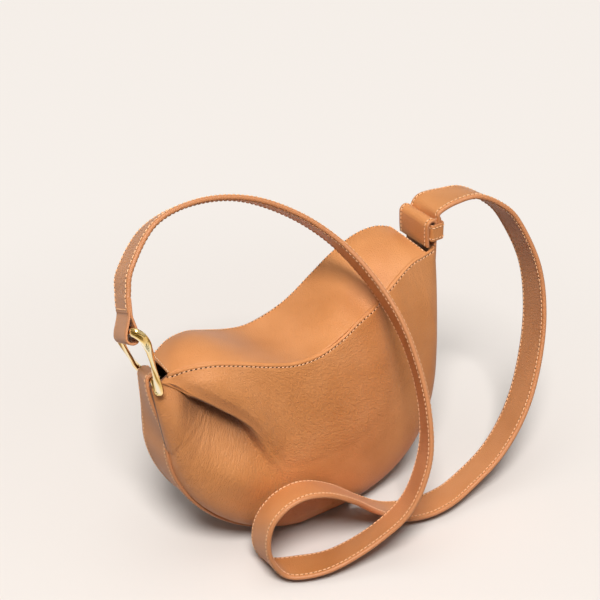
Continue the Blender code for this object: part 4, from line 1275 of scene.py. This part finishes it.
# Ring of flat bar with a twist in each leg, round where it is held. Columns: row of the
# ring's centre line, half width, half thickness, turn in degrees.
RING_TWIST = [
    (0, 0.0022, 0.0022, 180), (4, 0.0023, 0.0021, 180), (5, 0.0029, 0.0018, 180),
    (6, 0.0033, 0.0016, 172), (7, 0.0032, 0.0016, 150), (8, 0.0029, 0.0016, 118),
    (9, 0.0028, 0.0016, 90), (10, 0.0030, 0.0016, 58), (11, 0.0033, 0.0016, 25),
    (12, 0.0034, 0.0016, 5), (13, 0.0032, 0.0018, 0), (14, 0.0024, 0.0021, 0),
    (15, 0.0022, 0.0022, 0), (19, 0.0022, 0.0022, 0), (20, 0.0024, 0.0020, 20),
    (21, 0.0028, 0.0017, 48), (22, 0.0030, 0.0016, 75), (23, 0.0029, 0.0017, 110),
    (24, 0.0024, 0.0020, 150), (25, 0.0022, 0.0022, 180), (28, 0.0022, 0.0022, 180),
]
RING_STEPS = 224
RING_SIDES = 28
RING_SQUARE = 0.72


def ring_point(t):
    return LOWER_BAR + Vector(spline(RING_SHARES, t, closed=True)) * RING_HEIGHT


def ring_twist(place):
    for a, b in zip(RING_TWIST, RING_TWIST[1:]):
        if place <= b[0]:
            f = smooth_step((place - a[0]) / (b[0] - a[0]))
            return [mix(p, q, f) for p, q in zip(a[1:], b[1:])]
    return RING_TWIST[-1][1:]


def build_ring():
    places = [ring_point(k / RING_STEPS) for k in range(RING_STEPS)]
    faces = view_back()
    bm = bmesh.new()
    bmesh.ops.create_grid(bm, x_segments=RING_STEPS, y_segments=RING_SIDES, size=0.5)
    painted_reflection = bm.verts.layers.float.new("painted_reflection")
    for vert in bm.verts:
        k, j = grid_place(vert, RING_STEPS, RING_SIDES)
        k, j = k % RING_STEPS, j % RING_SIDES
        tangent = (places[(k + 1) % RING_STEPS] - places[k - 1]).normalized()
        flat = tangent.cross(faces).normalized()
        edge = tangent.cross(flat)
        wide, thin, turn = ring_twist(k * len(RING_SHARES) / RING_STEPS)
        turn = math.radians(turn)
        main = flat * math.cos(turn) + edge * math.sin(turn)
        cross = edge * math.cos(turn) - flat * math.sin(turn)
        a = 2 * math.pi * j / RING_SIDES
        square = mix(1.0, RING_SQUARE, smooth_step((wide / thin - 1) / 0.6))
        x = math.copysign(abs(math.cos(a)) ** square, math.cos(a)) * wide
        y = math.copysign(abs(math.sin(a)) ** square, math.sin(a)) * thin
        vert.co = places[k] + main * x + cross * y
        # Painted reflections lie in streaks along the bar and wander a little round it
        along = 2 * math.pi * k / RING_STEPS
        wave = math.sin(2 * a + 1.1 * math.sin(3 * along) + 0.8 * math.sin(7 * along + 1))
        vert[painted_reflection] = 0.5 + 0.36 * wave + 0.14 * math.sin(5 * a - 4 * along)
    close_tube(bm, ends=False)
    finish_piece("twisted_ring_gold", bm, ring_gold(), "ring", ["twisted_ring"], 60)


# Strap end loop round the ring's upper bar
UPPER_ALONG, UPPER_UP, _ = bar_frame(UPPER_BAR_LEAN)
UPPER_BAR = LOWER_BAR + Vector(UPPER_BAR_SHARES) * RING_HEIGHT


# Centre and width direction of the strap at a row of its route, not below the floor
def route_station(row):
    x, y, z, lean_x, lean_z = row
    across = Vector((lean_x, 1, lean_z)).normalized()
    edge = Vector((x * BAG_LENGTH, y * BAG_DEPTH, z * CORNER_HEIGHT))
    centre = edge + across * STRAP_WIDTH / 2
    centre.z = max(centre.z, STRAP_BODY / 2 + abs(across.z) * STRAP_WIDTH / 2)
    return centre, across


# The loop points from the ring's bar towards the strap's route
def loop_frame():
    aim = route_station(STRAP_ROUTE_SHARES[0])[0] - UPPER_BAR
    up = (aim - UPPER_ALONG * aim.dot(UPPER_ALONG)).normalized()
    up = (up * LOOP_LEAN_SHARE + UPPER_UP * (1 - LOOP_LEAN_SHARE)).normalized()
    return up, UPPER_ALONG.cross(up)


LOOP_UP, LOOP_RIGHT = loop_frame()
LOOP_RADIUS = LOOP_HOLE_WIDTH / 2 + LOOP_PLY / 2


# The strap's way: out of the loop, along the route and down into the keeper
def strap_rows():
    start = UPPER_BAR + LOOP_UP * (LOOP_SPLIT + LOOP_NECK + CLEARANCE)
    rows = [(*start, *UPPER_ALONG)]
    for row in STRAP_ROUTE_SHARES:
        centre, across = route_station(row)
        rows.append((*centre, *across))
    x = TONGUE_X + BAND_THICKNESS / 2 + CLEARANCE + STRAP_BODY / 2
    top = KEEPER_Z + KEEPER_HEIGHT
    lean = Vector((STRAP_ENTRY_LEAN, 1, 0)).normalized()
    rows.append((x + STRAP_BODY, 0, top + STRAP_ENTRY, *lean))
    rows.append((x, 0, top + STRAP_ENTRY / 4, *Y_AXIS))
    rows.append((x, 0, top - KEEPER_HEIGHT / 2, *Y_AXIS))
    rows.append((x, 0, KEEPER_Z + CLEARANCE, *Y_AXIS))
    return rows


# Half the loop's width at a height above the bar, to the middle of its wall
def loop_across(height):
    f = (LOOP_SPLIT - height) / (LOOP_SPLIT + LOOP_DROP)
    return mix((LOOP_PLY + STRAP_GAP) / 2, LOOP_RADIUS, smooth_step(f))


def loop_rows():
    side = []
    for k in range(LOOP_NECK_STEPS):
        height = LOOP_SPLIT + LOOP_NECK * (1 - k / LOOP_NECK_STEPS)
        side.append((loop_across(LOOP_SPLIT) - NECK_SINK, height))
    for k in range(LOOP_STEPS):
        height = mix(LOOP_SPLIT, -LOOP_DROP, k / LOOP_STEPS)
        sink = NECK_SINK * (1 - smooth_step((LOOP_SPLIT - height) / LOOP_DROP))
        side.append((loop_across(height) - sink, height))
    quarter = FOLD_STEPS // 2
    for k in range(quarter + 1):
        a = math.pi / 2 * k / quarter
        side.append((LOOP_RADIUS * math.cos(a), -LOOP_DROP - LOOP_RADIUS * math.sin(a)))
    flat = [(-x, z) for x, z in side] + [(x, z) for x, z in reversed(side[:-1])]
    shift = loop_across(0) - LOOP_PLY / 2 - RING_BAR / 2 - CLEARANCE
    centre = UPPER_BAR + LOOP_RIGHT * shift
    return [(centre + LOOP_RIGHT * x + LOOP_UP * z, UPPER_ALONG) for x, z in flat]


def build_loop():
    profile = strip_profile(STRAP_WIDTH, LOOP_PLY, STRAP_STITCH_INSET)
    sweep("strap_end_loop_leather", loop_rows(), profile, False, painted_leather(),
          "strap_end", ["strap_end_loop"])


# Stations a like distance apart along a curve through the rows
def even_stations(rows, steps):
    fine = steps * 4
    points = [spline(rows, k / fine) for k in range(fine + 1)]
    lengths = [0.0]
    for a, b in zip(points, points[1:]):
        lengths.append(lengths[-1] + (Vector(b[:3]) - Vector(a[:3])).length)
    stations = []
    k = 0
    for n in range(steps + 1):
        want = lengths[-1] * n / steps
        while k < fine - 1 and lengths[k + 1] < want:
            k += 1
        f = (want - lengths[k]) / max(lengths[k + 1] - lengths[k], 1e-9)
        row = spline(rows, (k + f) / fine)
        stations.append((Vector(row[:3]), Vector(row[3:]).normalized()))
    return stations


def build_strap():
    neck = []
    for k in range(NECK_STEPS):
        height = LOOP_SPLIT + mix(NECK_START, LOOP_NECK + CLEARANCE, k / NECK_STEPS)
        neck.append((UPPER_BAR + LOOP_UP * height, UPPER_ALONG))
    stations = neck + even_stations(strap_rows(), STRAP_STEPS)
    profile = strip_profile(STRAP_WIDTH, STRAP_BODY, STRAP_STITCH_INSET)
    strap, frames = sweep("strap_leather", stations, profile, False, painted_leather(),
                          None, ["strap_inner_ply", "strap_outer_ply"])
    # The two rows along the strap start after the row that crosses it near the loop
    first = round(NECK_STEPS * (CROSS_ROW - NECK_START) / (LOOP_NECK - NECK_START)) + 2
    lines = strip_lines(frames, STRAP_WIDTH, STRAP_BODY, STRAP_STITCH_INSET, start=first, stop=-2)
    half = STRAP_WIDTH / 2 - STRAP_STITCH_INSET
    centre, across, normal = frames[first - 2]
    for face in (1, -1):
        up = normal * face
        surface = centre + up * (STRAP_BODY / 2 - STITCH_SINK)
        lines.append([(surface + across * mix(-half, half, k / CROSS_LINE_STEPS), up)
                      for k in range(CROSS_LINE_STEPS + 1)])
    pieces = [strap] + sew("strap_stitches", lines, None)
    for piece in pieces:
        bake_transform(piece)


# Keeper: a flat band round the tongue and the strap's end
def build_keeper():
    x0 = TONGUE_X - BAND_THICKNESS / 2 - TONGUE_HOLLOW + CLEARANCE * 2 + KEEPER_WALL
    x1 = TONGUE_X + BAND_THICKNESS / 2 + CLEARANCE + STRAP_BODY + CLEARANCE
    half_x = (x1 - x0) / 2 + KEEPER_WALL / 2
    half_y = BAND_WIDTH / 2 + CLEARANCE + KEEPER_WALL / 2
    centre = Vector(((x0 + x1) / 2, 0, KEEPER_Z + KEEPER_HEIGHT / 2))
    corner = KEEPER_CORNER + KEEPER_WALL / 2
    stations = []
    for cx, cy, start in ((1, 1, 0), (-1, 1, 90), (-1, -1, 180), (1, -1, 270)):
        for k in range(CORNER_STEPS + 1):
            a = math.radians(start + 90 * k / CORNER_STEPS)
            spot = Vector((cx * (half_x - corner) + corner * math.cos(a),
                           cy * (half_y - corner) + corner * math.sin(a), 0))
            stations.append((centre + spot, Z_AXIS))
    profile = strip_profile(KEEPER_HEIGHT, KEEPER_WALL, KEEPER_STITCH_INSET)
    _, frames = sweep("keeper_loop_leather", stations, profile, True, painted_leather(),
                      "root", ["keeper_loop"])
    outer = 1 if frames[0][2].dot(X_AXIS) > 0 else -1
    lines = strip_lines(frames + frames[:1], KEEPER_HEIGHT, KEEPER_WALL, KEEPER_STITCH_INSET,
                        (outer,))
    sew("keeper_stitches", lines, "root", pitch=FINE_PITCH)


# Zip
TAPE_LIFT = -LEATHER - CLEARANCE
TEETH_LIFT = TAPE_LIFT + CLEARANCE + TEETH_HEIGHT


def yoke_of_share(w, v):
    return yoke_base((w - TOP_START) / (TOP_END_REAR - TOP_START), v)


# A tape runs from the teeth to its slot's edge, and on under the leather
def tape_point(base, way):
    def point(u, v):
        w = mix(ZIP_END_SHARE, 1 - ZIP_END_SHARE, u)
        if v <= 0.5:
            out = mix(TEETH_GAP / 2, zip_half_slot(w), 2 * v)
            return zip_point(zip_angle(w), way * out, TAPE_LIFT)
        edge = 1.0 if way > 0 else 0.0
        far = 0.0 if way > 0 else 1.0
        reach = (base(w, edge) - base(w, far)).length
        share = ZIP_TAPE_HIDDEN * (2 * v - 1) / (reach * TAPE_HIDDEN_SHARE)
        spot = edge - way * share
        return base(w, spot) + surface_normal(mirrored(base), 1 - w, spot) * TAPE_LIFT
    return point


# Angles of the first and last tooth, next to the stops
def teeth_ends():
    stop = STOP_LENGTH * 2 / ZIP_RADIUS
    return zip_angle(ZIP_END_SHARE) + stop, zip_angle(1 - ZIP_END_SHARE) - stop


def build_zip():
    for name, base, way in (("lower", back_base, 1), ("upper", yoke_of_share, -1)):
        tape = tape_point(base, way)
        if surface_normal(tape, 0.5, 0.25).dot(ZIP_NORMAL) < 0:
            tape = mirrored(tape)
        sheet("zip_tape_cloth_" + name, tape, TAPE_STEPS, ZIP_TAPE_THICKNESS,
              woven("zip_tape_weave", *ZIP_CLOTH, ZIP_THREADS),
              "root", ["zip_tape_" + name])
        a0, a1 = teeth_ends()
        count = int((a1 - a0) * ZIP_RADIUS / TOOTH_PITCH)
        bm = bmesh.new()
        for k in range(count):
            shift = 0.5 if way > 0 else 0.0
            angle = a0 + (k + 0.25 + shift) * (a1 - a0) / (count + 0.5)
            radial = zip_radial(angle)
            turn = Matrix((radial, zip_tangent(angle), ZIP_NORMAL)).transposed().to_4x4()
            turn.translation = zip_point(angle, way * (TEETH_GAP / 2 + TEETH_WIDTH / 2),
                                         TEETH_LIFT - TEETH_HEIGHT / 2)
            size = Matrix.Diagonal((TEETH_WIDTH, TOOTH_PITCH * TOOTH_LENGTH_SHARE, TEETH_HEIGHT, 1.0))
            bmesh.ops.create_cube(bm, size=1.0, matrix=turn @ size)
        bmesh.ops.bevel(bm, geom=bm.edges[:], offset=TOOTH_BEVEL, segments=1, profile=0.5,
                        affect="EDGES", material=-1)
        finish_piece("zip_teeth_row_" + name, bm, gold(), "root",
                     ["zip_teeth_" + name], 30)


# Leather tab on the zip's pull: one strip folded round the link
def build_pull_tab():
    angle = teeth_ends()[1] - (SLIDER_LENGTH / 2 + CLEARANCE) / ZIP_RADIUS
    radial = zip_radial(angle)
    tangent = zip_tangent(angle)
    base = TEETH_LIFT + CLEARANCE * 2 + SLIDER_PLATE + LINK_BAR / 2
    axis = zip_point(angle, 0, base + STAPLE_RISE - LINK_BAR - CLEARANCE)
    far = axis - tangent * LINK_LENGTH
    fold = LINK_BAR / 2 + CLEARANCE + PULL_THICKNESS / 4
    close = PULL_THICKNESS / 4 + STRAP_GAP / 2
    stations = []
    for side in (1, -1):
        half = []
        for k in range(PULL_STEPS):
            f = k / PULL_STEPS
            lift = mix(close, fold, smooth_step((f - 0.75) / 0.25))
            half.append((far - tangent * mix(PULL_LENGTH, fold, f) + ZIP_NORMAL * lift * side, radial))
        stations.append(half)
    bend = []
    for k in range(PULL_STEPS + 1):
        a = math.pi * k / PULL_STEPS
        out = math.sin(a) * (1 + PULL_BULGE) - PULL_BULGE
        bend.append((far + tangent * fold * out + ZIP_NORMAL * fold * math.cos(a), radial))
    route = stations[0] + bend + stations[1][::-1]
    thickness = PULL_THICKNESS / 2
    profile = strip_profile(PULL_WIDTH, thickness, PULL_INSET)
    _, frames = sweep("zip_pull_leather", route, profile, False, painted_leather(),
                      "zip_pull", ["zip_pull_tab"])
    outer = 1 if frames[2][2].dot(ZIP_NORMAL) > 0 else -1
    lines = []
    for start, stop in ((2, PULL_STEPS - PULL_BARE_ROWS),
                        (len(frames) - PULL_STEPS + PULL_BARE_ROWS, -2)):
        lines += strip_lines(frames, PULL_WIDTH, thickness, PULL_INSET, (outer,), start, stop)
    sew("zip_pull_stitches", lines, "zip_pull", pitch=PULL_PITCH)


# Materials for the CAD pieces that are shown as they are
def finish_frame_nodes():
    cloth = woven("beige_lining_weave", *LINING_CLOTH, LINING_THREADS)
    board = plain_noise("stiffener_board", *BOARD, 120.0, roughness=0.8, bump=0.3)
    looks = {
        "zip_stop_left": gold(), "zip_stop_right": gold(), "zip_slider": gold(),
        "slider_staple": gold(), "pull_link": gold(),
        "lining_front": cloth, "lining_back": cloth, "slip_pocket": cloth,
        "lining_gusset": cloth, "base_stiffener": board,
    }
    for name, look in looks.items():
        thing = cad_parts[name]
        thing.data.materials.clear()
        thing.data.materials.append(look)


# Studio. The camera sees a pale floor that turns into the backdrop between two distances
# from the bag, and its leather is lit by a darker, warmer floor.
FLOOR = (0.78, 0.742, 0.71)
FLOOR_BOUNCE = (0.22, 0.155, 0.10)
FLOOR_SIZE = 6.0
BACKDROP = (0.93, 0.875, 0.825)
BACKDROP_SHARE = (0.0, 0.92)
BACKDROP_REACH = (0.16, 0.55)
WORLD = (1.0, 0.97, 0.94)
WORLD_STRENGTH = 0.14
SCREENS = [(0.30, (0.02, 0.016, 0.012)), (0.42, (0.25, 0.23, 0.20)), (0.60, (1.0, 0.98, 0.95))]

# Columns: name, place, aim, size, power, colour.
LAMPS = (
    ("sky", (-0.8, -0.6, 7.2), (0, 0, 0.1), 6.0, 130.0, (1.0, 0.98, 0.96)),
    ("key", (-2.1, -3.1, 5.1), (0, 0, 0.1), 1.9, 420.0, (1.0, 0.975, 0.95)),
)


def mixed_shader(tree, fac, first, second):
    made = node(tree, "ShaderNodeMixShader")
    for socket, value in zip(made.inputs, (fac, first, second)):
        tree.links.new(value, socket)
    return made.outputs[0]


def build_floor(scene):
    bm = bmesh.new()
    bmesh.ops.create_grid(bm, x_segments=1, y_segments=1, size=FLOOR_SIZE)
    mesh = bpy.data.meshes.new("pale_floor")
    bm.to_mesh(mesh)
    bm.free()
    floor = bpy.data.objects.new("pale_floor", mesh)
    scene.collection.objects.link(floor)
    made, tree, shader = new_material("pale_floor")
    fill(tree, shader, {"Base Color": (*FLOOR, 1.0), "Roughness": 0.9, "Specular IOR Level": 0.1})
    plain = node(tree, "ShaderNodeEmission", Color=(*BACKDROP, 1.0), Strength=1.0)
    place = node(tree, "ShaderNodeTexCoord").outputs["Object"]
    reach = node(tree, "ShaderNodeVectorMath", operation="LENGTH", Vector=place)
    share = node(tree, "ShaderNodeMapRange", interpolation_type="SMOOTHSTEP",
                 Value=reach.outputs["Value"])
    fill(tree, share, {"From Min": BACKDROP_REACH[0], "From Max": BACKDROP_REACH[1],
                       "To Min": BACKDROP_SHARE[0], "To Max": BACKDROP_SHARE[1]})
    pale = mixed_shader(tree, share.outputs["Result"], shader.outputs[0], plain.outputs[0])
    bounce = node(tree, "ShaderNodeBsdfDiffuse", Color=(*FLOOR_BOUNCE, 1.0))
    ray = node(tree, "ShaderNodeLightPath").outputs
    seen = maths(tree, "MAXIMUM", ray["Is Camera Ray"], ray["Is Glossy Ray"])
    both = mixed_shader(tree, seen, bounce.outputs[0], pale)
    tree.links.new(both, tree.nodes["Material Output"].inputs["Surface"])
    mesh.materials.append(made)


# Reflections see bright and dark screens round the studio
def build_world(scene):
    world = bpy.data.worlds.new("studio")
    scene.world = world
    world.use_nodes = True
    tree = world.node_tree
    back = tree.nodes["Background"]
    fill(tree, back, {"Color": (*WORLD, 1.0), "Strength": WORLD_STRENGTH})
    coords = node(tree, "ShaderNodeTexCoord").outputs["Generated"]
    bands = node(tree, "ShaderNodeTexWave", Vector=coords, Scale=2.0, Distortion=3.0, Detail=1.0,
                 bands_direction="DIAGONAL")
    seen = node(tree, "ShaderNodeBackground", Color=ramp(tree, bands.outputs["Fac"], SCREENS),
                Strength=1.0)
    ray = node(tree, "ShaderNodeLightPath").outputs
    both = mixed_shader(tree, ray["Is Glossy Ray"], back.outputs[0], seen.outputs[0])
    tree.links.new(both, tree.nodes["World Output"].inputs["Surface"])


def build_lamps(scene):
    for name, place, aim, size, power, colour in LAMPS:
        data = bpy.data.lights.new(name, "AREA")
        data.shape = "DISK"
        data.size = size
        data.energy = power
        data.color = colour
        lamp = bpy.data.objects.new(name, data)
        lamp.location = place
        lamp.rotation_euler = (Vector(aim) - Vector(place)).to_track_quat("-Z", "Y").to_euler()
        scene.collection.objects.link(lamp)


def build_camera(scene):
    data = bpy.data.cameras.new("view")
    data.lens = CAMERA_LENS
    data.sensor_width = 36
    camera = bpy.data.objects.new("view", data)
    back = view_back()
    right = Vector((math.cos(CAMERA_TURN), -math.sin(CAMERA_TURN), 0))
    turn = Matrix((right, back.cross(right), back)).transposed()
    camera.matrix_world = Matrix.Translation(CAMERA_PLACE) @ turn.to_4x4()
    scene.collection.objects.link(camera)
    scene.camera = camera


def build_studio():
    scene = bpy.context.scene
    scene.view_settings.view_transform = "Standard"
    build_floor(scene)
    build_world(scene)
    build_lamps(scene)
    build_camera(scene)


build_studio()
build_front()
build_top()
build_back()
build_gusset()
build_band()
build_ring()
build_loop()
build_strap()
build_keeper()
build_zip()
build_pull_tab()
finish_frame_nodes()
